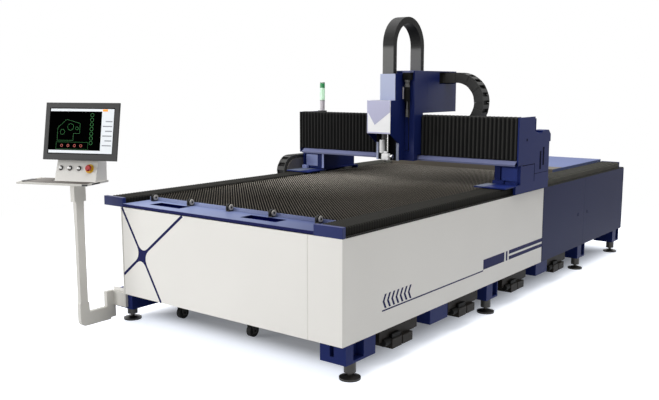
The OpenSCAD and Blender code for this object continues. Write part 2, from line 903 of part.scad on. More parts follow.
module z_slide() {
  color(navy) place() {
    bx(slide_x - 76, slide_x + 72, slide_yf, col_yf - slide_gap, head_z1, slide_z1);
    bx(slide_x - 60, slide_x + 72, plate_y, col_yf - slide_gap, nozzle_z + 15, head_z1 + e);
    bx(slide_x + 32, slide_x + 70, col_yf - slide_gap - e, col_yf + 28, head_z1 + 40, head_z1 + 130);
  }
}

module head_cover() {
  x0 = head_x - head_w / 2;
  x1 = head_x + head_w / 2;
  y0 = head_yf + head_plate_t;
  color(navy) place() {
    difference() {
      bx(x0, x1, y0, plate_y, head_z0, head_z1);
      bx(x0 + cover_t, x1 - cover_t, y0 + cover_t, plate_y + 1, head_z0 - 1, head_z1 - cover_t);
    }
    for (x = [x0, x1 - cover_t])
      along_x(x, x + cover_t)
        polygon([[y0, head_z0 + e], [plate_y, head_z0 + e], [plate_y, head_z0 - 88], [y0, head_z0 - 4]]);
  }
}

module head_plate() {
  color(white) place()
    bx(head_x - head_w / 2, head_x + head_w / 2, head_yf, head_yf + head_plate_t, head_z0, head_z1);
}

module cutting_head() {
  color(steel) place()
    translate([head_x, axis_y, 0]) {
      translate([0, 0, nozzle_z + 96])
        cylinder(d = head_d, h = head_z0 - nozzle_z + 60);
      translate([0, 0, nozzle_z + 60])
        cylinder(d1 = head_d - 16, d2 = head_d, h = 36 + e);
      bx(-24, 24, head_d / 2 - 12, plate_y - axis_y, head_z0 + 20, head_z0 + 120);
      bx(-50, -head_d / 2 + 8, -14, 14, nozzle_z + 130, nozzle_z + 170);
    }
}

module nozzle() {
  color([0.75, 0.62, 0.35]) place()
    translate([head_x, axis_y, nozzle_z])
      difference() {
        union() {
          cylinder(d1 = 9, d2 = 26, h = 22);
          translate([0, 0, 22 - e])
            cylinder(d = 34, h = 38 + e);
        }
        translate([0, 0, -1])
          cylinder(d = 4, h = 62);
      }
}

module keyboard_tray() {
  color(putty) place()
    turned() {
      translate([0, 0, tray_z - tray_t - spigot_h + 2])
        cylinder(d = spigot_d, h = spigot_h);
      difference() {
        bx(tray_l, tray_r, tray_f, tray_b, tray_z - tray_t, tray_z);
        bx(tray_l + 8, box_l - 12, tray_f + 8, tray_b - 8, tray_z - 8, tray_z + 1);
      }
    }
}

module console_box() {
  st = sin(monitor_tilt);
  ct = cos(monitor_tilt);
  z1 = monitor_z - 4;
  n1 = [monitor_v + 52 * st + monitor_t * ct, monitor_z + 52 * ct - monitor_t * st];
  n2 = [monitor_v + 170 * st + monitor_t * ct, monitor_z + 170 * ct - monitor_t * st];
  color(putty) place()
    turned()
      difference() {
        along_x(box_l, box_r)
          polygon([[box_f, tray_z], [box_b, tray_z], [box_b + 4, z1], [n2[0] + 34, n2[1]], n2, n1,
            [box_f + tan(box_tilt) * (z1 - tray_z), z1]]);
        for (u = button_us)
          translate([u, box_f, tray_z])
            rotate([90 - box_tilt, 0, 0])
              translate([0, face_h, -14])
                cylinder(d = 18 + 2 * axle_gap, h = 30);
        translate([stop_u, box_f, tray_z])
          rotate([90 - box_tilt, 0, 0])
            translate([0, face_h, -18])
              cylinder(d = 22 + 2 * axle_gap, h = 40);
      }
}

module monitor() {
  color([0.26, 0.26, 0.26]) place()
    on_monitor()
      difference() {
        union() {
          bx(-monitor_w / 2, monitor_w / 2, 0, monitor_h, -14, 0);
          bx(-monitor_w / 2 + 60, monitor_w / 2 - 60, 46, monitor_h - 50, -monitor_t, -14 + e);
        }
        bx(-monitor_w / 2 + 36, monitor_w / 2 - 36, 44, monitor_h - 38, -4, 1);
      }
}

module screen() {
  color([0.06, 0.06, 0.07]) place()
    on_monitor()
      bx(-monitor_w / 2 + 36, monitor_w / 2 - 36, 44, monitor_h - 38, -4, -1);
}

module e_stop_base() {
  color([0.95, 0.75, 0.15]) place()
    on_face(stop_u, face_h)
      difference() {
        cylinder(d = 66, h = 5);
        translate([0, 0, -1])
          cylinder(d = 22 + 2 * axle_gap, h = 8);
      }
}

module e_stop() {
  color([0.75, 0.12, 0.10]) place()
    on_face(stop_u, face_h) {
      translate([0, 0, -9])
        cylinder(d = 22, h = 24);
      translate([0, 0, 14])
        cylinder(d1 = 36, d2 = 48, h = 8);
      translate([0, 0, 22 - e])
        cylinder(d1 = 48, d2 = 34, h = 10);
    }
}

module push_button(i) {
  color([0.85, 0.85, 0.84]) place()
    on_face(button_us[i], face_h) {
      translate([0, 0, -9])
        cylinder(d = 18, h = 16);
      translate([0, 0, 6])
        cylinder(d = 28, h = 6);
      translate([0, 0, 12 - e])
        cylinder(d1 = 28, d2 = 16, h = 6);
    }
}

module button_1() {
  push_button(0);
}

module button_2() {
  push_button(1);
}

module button_3() {
  push_button(2);
}

module cabinet_door(y0, y1, latch_y, hinge_y) {
  difference() {
    bx(rail_half - panel_t, rail_half, y0, y1, door_z0, door_z1);
    translate([rail_half - 5, latch_y, latch_z])
      rotate([0, 90, 0])
        cylinder(d = 30, h = 6);
  }
  translate([rail_half - 5 - e, latch_y, latch_z])
    rotate([0, 90, 0])
      cylinder(d = 18, h = 5);
  for (z = [door_z0 + 60, (door_z0 + door_z1) / 2 - 40, door_z1 - 140])
    translate([rail_half, hinge_y, z])
      cylinder(d = 6, h = 80);
}

module cabinet_door_front() {
  color(navy) place()
    cabinet_door(door_y0, door_ym - 1, door_ym - 150, door_y0);
}

module cabinet_door_rear() {
  color(navy) place()
    cabinet_door(door_ym + 1, door_y1, door_ym + 80, door_y1);
}

module cart_front() {
  color(white) place() {
    bx(-panel_left, seam_x - 2, 0, panel_t, panel_z, panel_z1);
    for (z = [panel_z + 20, panel_z1 - 40])
      bx(-panel_left + 40, seam_x - 42, panel_t - e, panel_t + 24, z, z + 20);
  }
}

module cart_bin() {
  color(dark) place() {
    difference() {
      bx(-bin_half, bin_half, cart_y0, cart_y0 + bin_len, bin_z0, bin_z);
      bx(-bin_half + 6, bin_half - 6, cart_y0 + 6, cart_y0 + bin_len - 6, bin_z0 + 6, bin_z + 1);
    }
    for (x = [-500, 440])
      bx(x, x + 60, panel_t, cart_y0 + e, panel_z + 60, bin_z - 60);
    for (x = wheel_xs, y = wheel_ys, s = [-1, 1])
      translate([x + s * (wheel_w / 2 + 6), y, 0])
        difference() {
          along_x(-3, 3)
            polygon([[-60, bin_z0 + e], [60, bin_z0 + e], [18, wheel_z - 18], [-18, wheel_z - 18]]);
          translate([-4, 0, wheel_z])
            rotate([0, 90, 0])
              cylinder(d = axle_d + 2 * axle_gap, h = 8);
        }
  }
}

module wheel_row(y) {
  for (x = wheel_xs)
    translate([x, y, wheel_z])
      rotate([0, 90, 0]) {
        cylinder(d = wheel_d, h = wheel_w, center = true);
        cylinder(d = axle_d, h = wheel_w + 22, center = true);
      }
}

module cart_front_wheels() {
  color(dark) place()
    wheel_row(wheel_ys[0]);
}

module cart_rear_wheels() {
  color(dark) place()
    wheel_row(wheel_ys[1]);
}

bed_frame();
rail_decks();
y_rails();
front_lip();
roller_brackets();
loading_rollers();
right_side_cover();
left_side_cover();
slats();
slat_combs();
bellows_front_left();
bellows_front_right();
bellows_rear_left();
bellows_rear_right();
rear_cabinet();
rear_top_cover();
laser_source();
control_plate();
exhaust_dampers();
leveling_feet();
y_chain_tray();
y_chain();
console_arm();
gantry_beam();
gantry_legs();
end_covers();
y_motors();
y_guide_blocks();
x_rails();
x_chain_tray();
x_bellows_left();
x_bellows_right();
x_chain();
signal_tower();
signal_light();
column();
carriage_cover();
x_guide_blocks();
z_motor();
z_chain();
z_slide();
head_cover();
head_plate();
cutting_head();
nozzle();
keyboard_tray();
console_box();
monitor();
screen();
e_stop_base();
e_stop();
button_1();
button_2();
button_3();
cabinet_door_front();
cabinet_door_rear();
cart_front();
cart_bin();
cart_front_wheels();
cart_rear_wheels();
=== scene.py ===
"""Looks of a flat bed laser cutting machine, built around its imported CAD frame.

Lengths are millimetres in the machine's own frame: x = 0 in the middle of the bed, y = 0 at its front plane
and z = 0 on the floor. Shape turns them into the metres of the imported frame.
"""
import math

import bmesh
import bpy
from mathutils import Matrix, Vector

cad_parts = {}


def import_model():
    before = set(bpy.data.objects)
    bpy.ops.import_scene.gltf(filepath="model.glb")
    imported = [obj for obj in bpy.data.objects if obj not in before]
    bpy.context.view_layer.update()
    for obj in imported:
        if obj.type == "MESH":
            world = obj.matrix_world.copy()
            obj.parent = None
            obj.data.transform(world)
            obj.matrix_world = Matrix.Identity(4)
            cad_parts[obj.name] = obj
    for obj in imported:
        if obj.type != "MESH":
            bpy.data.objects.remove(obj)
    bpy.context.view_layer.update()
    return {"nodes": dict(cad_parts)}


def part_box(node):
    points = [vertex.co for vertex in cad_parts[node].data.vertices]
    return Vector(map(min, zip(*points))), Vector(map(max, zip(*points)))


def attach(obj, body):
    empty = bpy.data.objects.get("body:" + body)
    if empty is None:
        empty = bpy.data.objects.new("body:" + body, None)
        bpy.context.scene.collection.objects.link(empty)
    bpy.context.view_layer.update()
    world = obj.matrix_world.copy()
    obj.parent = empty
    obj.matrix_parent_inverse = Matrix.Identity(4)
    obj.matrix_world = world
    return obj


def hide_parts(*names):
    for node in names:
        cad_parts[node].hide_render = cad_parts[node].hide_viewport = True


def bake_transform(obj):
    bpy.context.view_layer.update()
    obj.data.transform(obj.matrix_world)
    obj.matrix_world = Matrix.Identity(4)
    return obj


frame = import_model()

# The machine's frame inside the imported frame
MM = 0.001
deck_lo, deck_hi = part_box("rail_decks")
ORIGIN = Vector(((deck_lo.x + deck_hi.x) / 2, deck_lo.y, 0))


def span(node):
    """Lowest and highest corner of a CAD node, in millimetres of the machine's frame."""
    lo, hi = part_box(node)
    return (lo - ORIGIN) / MM, (hi - ORIGIN) / MM


# Places that the pieces below are worked out from
RAIL_HALF = (deck_hi.x - deck_lo.x) / 2 / MM
DECK_Z = 890
LIP_LO, LIP_HI = span("front_lip")
PANEL_LO, PANEL_HI = span("cart_front")
SIDE_HI = span("right_side_cover")[1]
BEAM_LO, BEAM_HI = span("gantry_beam")
LEG_LO, LEG_HI = span("gantry_legs")
END_LO, END_HI = span("end_covers")
COLUMN_LO, COLUMN_HI = span("column")
SLIDE_LO, SLIDE_HI = span("z_slide")
HEAD_LO, HEAD_HI = span("head_plate")
NOZZLE_LO, NOZZLE_HI = span("nozzle")
LOWER_Y = span("head_cover")[1].y
HEAD_Y = (NOZZLE_LO.y + NOZZLE_HI.y) / 2
LIGHT_LO, LIGHT_HI = span("signal_light")
SLAT_LO, SLAT_HI = span("slats")
SLAT_TOP = SLAT_HI.z

# Local frames of the console, its sloped face and its monitor
POLE = (-1084, -214)
CONSOLE_YAW = math.radians(21.5)
FACE_TILT = math.radians(20)
MONITOR_TILT = math.radians(11)
TRAY_Z = 1062
FACE_Y = 50
FACE_H = 96
MONITOR_AT = (-14, FACE_Y, TRAY_Z + 152.5)
CONSOLE = Matrix.Translation((*POLE, 0)) @ Matrix.Rotation(CONSOLE_YAW, 4, "Z")
MONITOR = CONSOLE @ Matrix.Translation(MONITOR_AT) @ Matrix.Rotation(math.pi / 2 - MONITOR_TILT, 4, "X")


def on_face(u):
    """Local frame of the sloped console face at u across: x across, y up the face, z out of it."""
    lean = Matrix.Rotation(math.pi / 2 - FACE_TILT, 4, "X")
    foot = CONSOLE @ Matrix.Translation((u, FACE_Y, TRAY_Z))
    return foot @ lean @ Matrix.Translation((0, FACE_H, 0))


# Materials

def linear(rgb):
    """Scene colour of a colour given from 0 to 255."""
    out = []
    for part in rgb:
        c = part / 255
        out.append(c / 12.92 if c <= 0.04045 else ((c + 0.055) / 1.055) ** 2.4)
    return (*out, 1)


def shader_of(mat):
    return mat.node_tree.nodes["Principled BSDF"]


def material(name, rgb, rough, metal=0.0, coat=0.0, coat_rough=0.1, shine=0.5):
    mat = bpy.data.materials.new(name)
    mat.use_nodes = True
    shader = shader_of(mat)
    shader.inputs["Base Color"].default_value = linear(rgb)
    shader.inputs["Roughness"].default_value = rough
    shader.inputs["Metallic"].default_value = metal
    shader.inputs["Coat Weight"].default_value = coat
    shader.inputs["Coat Roughness"].default_value = coat_rough
    shader.inputs["Specular IOR Level"].default_value = shine
    return mat


def node_of(mat, kind):
    return mat.node_tree.nodes.new(kind)


def largest(tree, sockets):
    """The largest of several values."""
    last = sockets[0]
    for socket in sockets[1:]:
        most = tree.nodes.new("ShaderNodeMath")
        most.operation = "MAXIMUM"
        tree.links.new(last, most.inputs[0])
        tree.links.new(socket, most.inputs[1])
        last = most.outputs[0]
    return last


def object_noise(mat, scale, detail=2.0, stretch=(1, 1, 1)):
    """Noise that sticks to the object."""
    links = mat.node_tree.links
    where = node_of(mat, "ShaderNodeTexCoord")
    place = node_of(mat, "ShaderNodeMapping")
    noise = node_of(mat, "ShaderNodeTexNoise")
    place.inputs["Scale"].default_value = stretch
    noise.inputs["Scale"].default_value = scale
    noise.inputs["Detail"].default_value = detail
    links.new(where.outputs["Object"], place.inputs["Vector"])
    links.new(place.outputs["Vector"], noise.inputs["Vector"])
    return noise


def vary_colour(mat, rgb_a, rgb_b, scale, stretch=(1, 1, 1)):
    noise = object_noise(mat, scale, stretch=stretch)
    ramp = node_of(mat, "ShaderNodeValToRGB")
    ramp.color_ramp.elements[0].position = 0.3
    ramp.color_ramp.elements[1].position = 0.7
    ramp.color_ramp.elements[0].color = linear(rgb_a)
    ramp.color_ramp.elements[1].color = linear(rgb_b)
    links = mat.node_tree.links
    links.new(noise.outputs["Fac"], ramp.inputs["Fac"])
    links.new(ramp.outputs["Color"], shader_of(mat).inputs["Base Color"])


def add_bump(mat, scale, strength, distance, stretch=(1, 1, 1)):
    noise = object_noise(mat, scale, stretch=stretch)
    bump = node_of(mat, "ShaderNodeBump")
    bump.inputs["Strength"].default_value = strength
    bump.inputs["Distance"].default_value = distance
    links = mat.node_tree.links
    links.new(noise.outputs["Fac"], bump.inputs["Height"])
    links.new(bump.outputs["Normal"], shader_of(mat).inputs["Normal"])


def paint(name, rgb, rough=0.4, shine=0.4, spread=3):
    """Powder paint with a faint orange peel and a slight change of tone."""
    mat = material(name, rgb, rough, shine=shine)
    vary_colour(mat, [c - spread for c in rgb], [min(255, c + spread) for c in rgb], 0.9)
    add_bump(mat, 900, 0.05, 0.0006)
    return mat


def shade_toned(name, dark, light, rough, shine=0.3, start=0.0):
    """A material that goes from dark to light with the tone values of a piece's own points: painted shade
    and light.
    """
    mat = material(name, light, rough, shine=shine)
    tone = node_of(mat, "ShaderNodeAttribute")
    tone.attribute_name = "tone"
    ramp = node_of(mat, "ShaderNodeValToRGB")
    ramp.color_ramp.elements[0].position = start
    ramp.color_ramp.elements[0].color = linear(dark)
    ramp.color_ramp.elements[1].color = linear(light)
    links = mat.node_tree.links
    links.new(tone.outputs["Fac"], ramp.inputs["Fac"])
    links.new(ramp.outputs["Color"], shader_of(mat).inputs["Base Color"])
    return mat


def across(name, left, right, rough=0.42, shine=0.3):
    """Paint that changes evenly over the width of a CAD node, used for painted reflection and painted shade
    that fade across a piece.
    """
    mat = material(name, [(a + b) / 2 for a, b in zip(left, right)], rough, shine=shine)
    where = node_of(mat, "ShaderNodeTexCoord")
    split = node_of(mat, "ShaderNodeSeparateXYZ")
    ramp = node_of(mat, "ShaderNodeValToRGB")
    ramp.color_ramp.elements[0].color = linear(left)
    ramp.color_ramp.elements[1].color = linear(right)
    links = mat.node_tree.links
    links.new(where.outputs["Generated"], split.inputs["Vector"])
    links.new(split.outputs["X"], ramp.inputs["Fac"])
    links.new(ramp.outputs["Color"], shader_of(mat).inputs["Base Color"])
    return mat


# Places on the table where a painted sheen brightens the teeth: x, y and reach
SHEEN_SPOTS = ((-700, 1800, 1350), (-300, 2250, 1000), (-60, 2900, 1300), (400, 3200, 1500))
TIP_H = 12


def slat_steel():
    """Burnt steel with bright tips, brightest in soft spots of painted sheen across the table."""
    mat = material("slat_steel", (120, 112, 100), 0.6, metal=0.2, shine=0.3)
    links = mat.node_tree.links
    where = node_of(mat, "ShaderNodeTexCoord")
    split = node_of(mat, "ShaderNodeSeparateXYZ")
    height = node_of(mat, "ShaderNodeMapRange")
    height.inputs["From Min"].default_value = (SLAT_TOP - TIP_H) * MM
    height.inputs["From Max"].default_value = (SLAT_TOP - 1) * MM
    links.new(where.outputs["Object"], split.inputs["Vector"])
    links.new(split.outputs["Z"], height.inputs["Value"])
    # Painted sheen: soft spots where the tips are lighter
    sheen = []
    for x, y, reach in SHEEN_SPOTS:
        far = node_of(mat, "ShaderNodeVectorMath")
        far.operation = "DISTANCE"
        far.inputs[1].default_value = Vector((x, y, SLAT_TOP)) * MM + ORIGIN
        near = node_of(mat, "ShaderNodeMapRange")
        near.interpolation_type = "SMOOTHSTEP"
        near.inputs["From Min"].default_value = reach * MM
        near.inputs["From Max"].default_value = 0
        links.new(where.outputs["Object"], far.inputs[0])
        links.new(far.outputs["Value"], near.inputs["Value"])
        sheen.append(near.outputs["Result"])
    tip = node_of(mat, "ShaderNodeValToRGB")
    tip.color_ramp.elements[0].color = linear((128, 121, 110))
    tip.color_ramp.elements[1].color = linear((228, 220, 206))
    blend = node_of(mat, "ShaderNodeMixRGB")
    blend.inputs["Color1"].default_value = linear((14, 13, 12))
    links.new(largest(mat.node_tree, sheen), tip.inputs["Fac"])
    links.new(height.outputs["Result"], blend.inputs["Fac"])
    links.new(tip.outputs["Color"], blend.inputs["Color2"])
    links.new(blend.outputs["Color"], shader_of(mat).inputs["Base Color"])
    return mat


def brushed(name, rgb, rough):
    mat = material(name, rgb, rough, metal=1.0)
    add_bump(mat, 300, 0.06, 0.0004, stretch=(1, 0.02, 1))
    return mat


def cloth(name, rgb, rough):
    mat = material(name, rgb, rough, shine=0.2)
    vary_colour(mat, [c - 5 for c in rgb], [c + 5 for c in rgb], 30)
    add_bump(mat, 1400, 0.15, 0.0005)
    return mat


def glow(name, rgb, strength):
    mat = material(name, rgb, 0.4)
    shader = shader_of(mat)
    shader.inputs["Emission Color"].default_value = linear(rgb)
    shader.inputs["Emission Strength"].default_value = strength
    return mat


WHITE = paint("white_paint", (236, 234, 229), shine=0.35)
NAVY = paint("navy_paint", (28, 40, 96), rough=0.42, shine=0.07)
# Paler navy for the rear top cover: painted reflection of the bright surroundings on its navy top
PALE = paint("pale_paint", (96, 108, 152), rough=0.45, shine=0.06)
GLOSS_NAVY = paint("gloss_navy_paint", (28, 40, 96), rough=0.35, shine=0.2)
# Darker copy of the navy for the cabinet doors: painted shade on the side away from the light
DOOR_SHADE = paint("door_shade_paint", (22, 30, 70), rough=0.45, shine=0.06)
# The lip and its rear strip: lighter to the left by painted reflection of the bright surroundings on the
# navy lip
LIP = across("lip_paint", (130, 141, 178), (54, 64, 104), shine=0.1)
LIP_BACK = across("lip_back_paint", (172, 182, 214), (104, 112, 150), shine=0.1)
# Light navy for the ledge plate and the lift cap: painted reflection of the bright surroundings on navy
# paint
LEDGE = paint("ledge_paint", (94, 99, 132), rough=0.42, shine=0.2)
FRONT_PALE = paint("front_pale_paint", (180, 188, 216), rough=0.42, shine=0.3)
# Lighter paint in the left leg's bay only: painted light on the navy there
LEFT_BAY_LIT = paint("left_bay_lit_paint", (164, 176, 228), rough=0.42, shine=0.3)
# Whiter copy of the white paint for the head plate and its housing: painted light where they get less of it
LIT_WHITE = paint("lit_white_paint", (252, 252, 253), rough=0.3, shine=0.6)
# Near-black navy: painted shade inside the lip's slots
WELL_SHADE = material("slot_navy", (5, 10, 62), 0.7, shine=0.0)
PUTTY = paint("putty_paint", (212, 210, 204), rough=0.45, shine=0.35)
CLOTH = cloth("bellows_cloth", (24, 24, 22), 0.75)
# Bellows cloth in lit and shaded copies, darker in each pleat's valley by painted shade
RAIL_PLEATS = shade_toned("rail_pleats", (18, 18, 16), (36, 35, 32), 0.7, shine=0.05)
REAR_PLEATS = shade_toned("rear_pleats", (26, 26, 24), (104, 103, 96), 0.7, shine=0.04)
BEAM_PLEATS = shade_toned("beam_pleats", (4, 4, 4), (46, 46, 44), 0.7, shine=0.15, start=0.5)
LEFT_PLEATS = shade_toned("left_beam_pleats", (8, 8, 8), (34, 34, 33), 0.7, shine=0.12, start=0.4)
# Chain plastic, toned per point by painted shade and light
CHAIN = shade_toned("chain_plastic", (5, 5, 5), (122, 122, 120), 0.45, shine=0.12)
SLAT = slat_steel()
STEEL = brushed("rail_steel", (176, 174, 168), 0.3)
BLACK = material("black_plastic", (30, 30, 30), 0.4)
BEZEL = material("bezel_plastic", (54, 54, 54), 0.5, shine=0.3)
RUBBER = material("black_rubber", (24, 24, 24), 0.7, shine=0.3)
IRON = material("black_steel", (40, 37, 34), 0.45)
FOOT = material("foot_steel", (56, 54, 51), 0.35, metal=0.4)
GUARD = material("guard_steel", (112, 108, 102), 0.35, metal=0.5)
DAMPER = material("damper_paint", (36, 33, 30), 0.55, shine=0.1)
DRIVE = material("drive_black", (10, 10, 9), 0.6, shine=0.1)
GLASS = material("screen_glass", (2, 2, 2), 0.3, shine=0.0)
COPPER = brushed("nozzle_copper", (206, 196, 182), 0.3)
RED = material("stop_red", (164, 26, 24), 0.4, coat=0.2)
YELLOW = material("stop_yellow", (238, 186, 38), 0.45)
LIFT_STEEL = material("lift_steel", (104, 103, 102), 0.5, metal=0.2, shine=0.2)
SILVER = brushed("button_metal", (214, 214, 212), 0.22)
CREAM = material("cream_plastic", (176, 172, 164), 0.42)
HOLDER = material("holder_plastic", (72, 70, 66), 0.5, shine=0.2)
POST = material("post_plastic", (206, 200, 206), 0.4)
LENS_GLASS = material("lens_glass", (228, 242, 230), 0.2)
GREEN = glow("light_green", (196, 244, 204), 0.4)
DEEP_GREEN = material("deep_green", (44, 148, 84), 0.3)
DECAL = material("decal_navy", (25, 28, 78), 0.45, shine=0.05)
LILAC = material("decal_lilac", (192, 192, 220), 0.4, shine=0.3)
# Near-black for painted shade: the back of the screw way and the plate behind the head
DARK = material("dark_inside", (9, 10, 15), 0.7, shine=0.1)
# Dark for the end joints, and painted shade in the slots and hole there
SEAM = material("dark_seam", (14, 16, 38), 0.7, shine=0.02)
# Grey for the panel's left edge line: painted shade on its rounded edge
EDGE_SHADE = material("edge_shade_grey", (150, 148, 142), 0.6, shine=0.1)
# Grey-lilac sheet on the base plates: painted reflection on their navy tops
BASE_SHEET = material("base_sheet", (96, 104, 124), 0.45, shine=0.15)
# Brighter navy for the right leg's bay: painted light in its shade
BAY_LIT = paint("bay_lit_paint", (54, 70, 142), rough=0.42, shine=0.1)
# Brownish steel for the flap on the rear cover
FLAP_BROWN = material("flap_brown_steel", (112, 106, 96), 0.6, metal=0.2, shine=0.1)
# Tray mat, darker to the right by painted shade
MAT = across("tray_mat", (132, 128, 124), (72, 67, 63), rough=0.55, shine=0.03)
UI_GREEN = glow("screen_green", (24, 110, 44), 0.3)
UI_RED = glow("screen_red", (176, 84, 72), 0.3)
UI_GREY = glow("screen_grey", (120, 124, 130), 0.3)
UI_PALE = glow("screen_pale", (214, 218, 222), 0.3)
UI_ORANGE = glow("screen_orange", (226, 140, 40), 0.55)

NODE_LOOKS = {
    WHITE: "right_side_cover left_side_cover cart_front console_box",
    LIT_WHITE: "head_plate",
    LIP: "front_lip",
    NAVY: "bed_frame rear_cabinet y_chain_tray gantry_beam gantry_legs end_covers x_chain_tray "
          "z_slide head_cover",
    GLOSS_NAVY: "rail_decks column carriage_cover",
    DOOR_SHADE: "cabinet_door_front cabinet_door_rear",
    PALE: "rear_top_cover",
    PUTTY: "console_arm keyboard_tray laser_source control_plate",
    STEEL: "y_rails y_guide_blocks x_rails x_guide_blocks",
    HOLDER: "roller_brackets",
    POST: "signal_tower",
    IRON: "slat_combs cart_bin",
    FOOT: "leveling_feet",
    DAMPER: "exhaust_dampers",
    BLACK: "y_motors z_motor cutting_head",
    BEZEL: "monitor",
    RUBBER: "cart_front_wheels cart_rear_wheels loading_rollers",
    GLASS: "screen",
    COPPER: "nozzle",
    RED: "e_stop",
    YELLOW: "e_stop_base",
    SILVER: "button_1 button_2 button_3",
    LENS_GLASS: "signal_light",
}


# Geometry

class Shape:
    """A mesh in the making. Points are millimetres in the local frame `at`."""

    def __init__(self, at=Matrix()):
        self.at = at
        self.points = []
        self.faces = []

    def add(self, points, faces):
        first = len(self.points)
        self.points += [self.at @ Vector(p) for p in points]
        self.faces += [[first + i for i in face] for face in faces]

    def box(self, x0, x1, y0, y1, z0, z1):
        points = [(x, y, z) for z in (z0, z1) for y in (y0, y1) for x in (x0, x1)]
        faces = [(0, 2, 3, 1), (4, 5, 7, 6), (0, 1, 5, 4), (2, 6, 7, 3), (0, 4, 6, 2), (1, 3, 7, 5)]
        self.add(points, faces)

    def prism(self, outline, axis, a, b):
        """An outline in the two other axes, drawn out along x, y or z from a to b."""
        place = {"x": lambda p, h: (h, p[0], p[1]), "y": lambda p, h: (p[0], h, p[1]),
                 "z": lambda p, h: (p[0], p[1], h)}[axis]
        n = len(outline)
        points = [place(p, h) for h in (a, b) for p in outline]
        sides = [(i, (i + 1) % n, n + (i + 1) % n, n + i) for i in range(n)]
        self.add(points, [tuple(range(n)), tuple(range(2 * n - 1, n - 1, -1))] + sides)

    def turn(self, profile, centre, axis="z", seg=32):
        """A profile of (radius, height) turned about an axis through centre; closed by its ends."""
        lay = {"x": lambda u, v, h: (h, u, v), "y": lambda u, v, h: (u, h, v),
               "z": lambda u, v, h: (u, v, h)}[axis]
        turns = [2 * math.pi * i / seg for i in range(seg)]
        rings = []
        for r, h in profile:
            rings.append([Vector(centre) + Vector(lay(r * math.cos(a), r * math.sin(a), h)) for a in turns])
        self.rings(rings)

    def rings(self, rings):
        """Closed rings with equal numbers of points, joined in order and capped."""
        n = len(rings[0])
        faces = [(k * n + i, k * n + (i + 1) % n, (k + 1) * n + (i + 1) % n, (k + 1) * n + i)
                 for k in range(len(rings) - 1) for i in range(n)]
        last = (len(rings) - 1) * n
        faces += [tuple(range(n)), tuple(range(last + n - 1, last - 1, -1))]
        self.add([p for ring in rings for p in ring], faces)

    def mesh(self, name, mat, bevel=0.0, flat=False):
        data = bpy.data.meshes.new(name)
        data.from_pydata([p * MM + ORIGIN for p in self.points], [], self.faces)
        work = bmesh.new()
        work.from_mesh(data)
        bmesh.ops.recalc_face_normals(work, faces=work.faces)
        work.to_mesh(data)
        work.free()
        data.materials.append(mat)
        obj = bpy.data.objects.new(name, data)
        bpy.context.collection.objects.link(obj)
        if not flat:
            data.polygons.foreach_set("use_smooth", [True] * len(data.polygons))
        if bevel:
            soften(obj, bevel)
        elif not flat:
            even_normals(obj)
        return obj

    def piece(self, name, mat, body, bevel=0.0, flat=False):
        obj = self.mesh(name, mat, bevel, flat)
        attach(obj, body)
        return obj


SHARP_FROM = math.radians(35)
BEVEL_FROM = math.radians(38)
WELD_GAP = 0.00002


def even_normals(obj):
    if not obj.data.attributes.get("sharp_edge"):
        obj.data.set_sharp_from_angle(angle=SHARP_FROM)


def soften(obj, width, weld=False):
    """Rounds the sharp edges of a piece by width in millimetres."""
    if weld:
        obj.modifiers.new("weld", "WELD").merge_threshold = WELD_GAP
    bevel = obj.modifiers.new("bevel", "BEVEL")
    bevel.width = width * MM
    bevel.segments = 2
    bevel.limit_method = "ANGLE"
    bevel.angle_limit = BEVEL_FROM
    normals = obj.modifiers.new("normals", "WEIGHTED_NORMAL")
    normals.keep_sharp = True


def share(obj, still, moving, shares):
    """Bakes the piece's transform into its mesh; still, moving and shares are not used."""
    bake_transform(obj)


def lerp(a, b, t):
    return a + (b - a) * t


# Bellows

CLOTH_T = 3
CORNER = 9
TOP_POINTS = (2, 3)
# Distance from pleat to pleat and depth of a pleat
RAIL_PLEAT = (26, 4)
BEAM_PLEAT = (36, 13)
SIDE_SHARE = 0.12
# Painted shade on the tops of the rear bellows, darker than their sides
REAR_TOP_TONE = 0.32


def pleats(a, b, pitch, depth):
    """Places along a bellows with the inset of each: a sharp valley, then a crest with a narrow flat."""
    n = max(2, round((b - a) / pitch))
    step = (b - a) / n
    out = []
    for i in range(n):
        out += [(a + step * i, depth), (a + step * (i + 0.4), 0), (a + step * (i + 0.6), 0)]
    return out + [(b, depth)]


def set_tone(obj, values):
    obj.data.attributes.new("tone", "FLOAT", "POINT").data.foreach_set("value", values)


def bellows(name, node, mat, places, ring, bodies, still_end, moving_end, along, top_tone=1.0):
    """Pleated cover between two bodies; along is the axis it runs along, top_tone the painted tone of its
    top.
    """
    shape = Shape()
    shape.rings([ring(p, inset) for p, inset in places])
    obj = shape.mesh(name, mat, flat=True)
    per_ring = len(shape.points) // len(places)
    deepest = max(inset for _, inset in places)
    # Painted shade: darker deep in the valleys, and on the top where top_tone is below one
    tones = [top_tone if i in TOP_POINTS else 1 for i in range(per_ring)]
    set_tone(obj, [(1 - inset / deepest) * tone for _, inset in places for tone in tones])
    share(obj, *bodies, [(p[along] - still_end) / (moving_end - still_end) for p in shape.points])
    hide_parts(node)


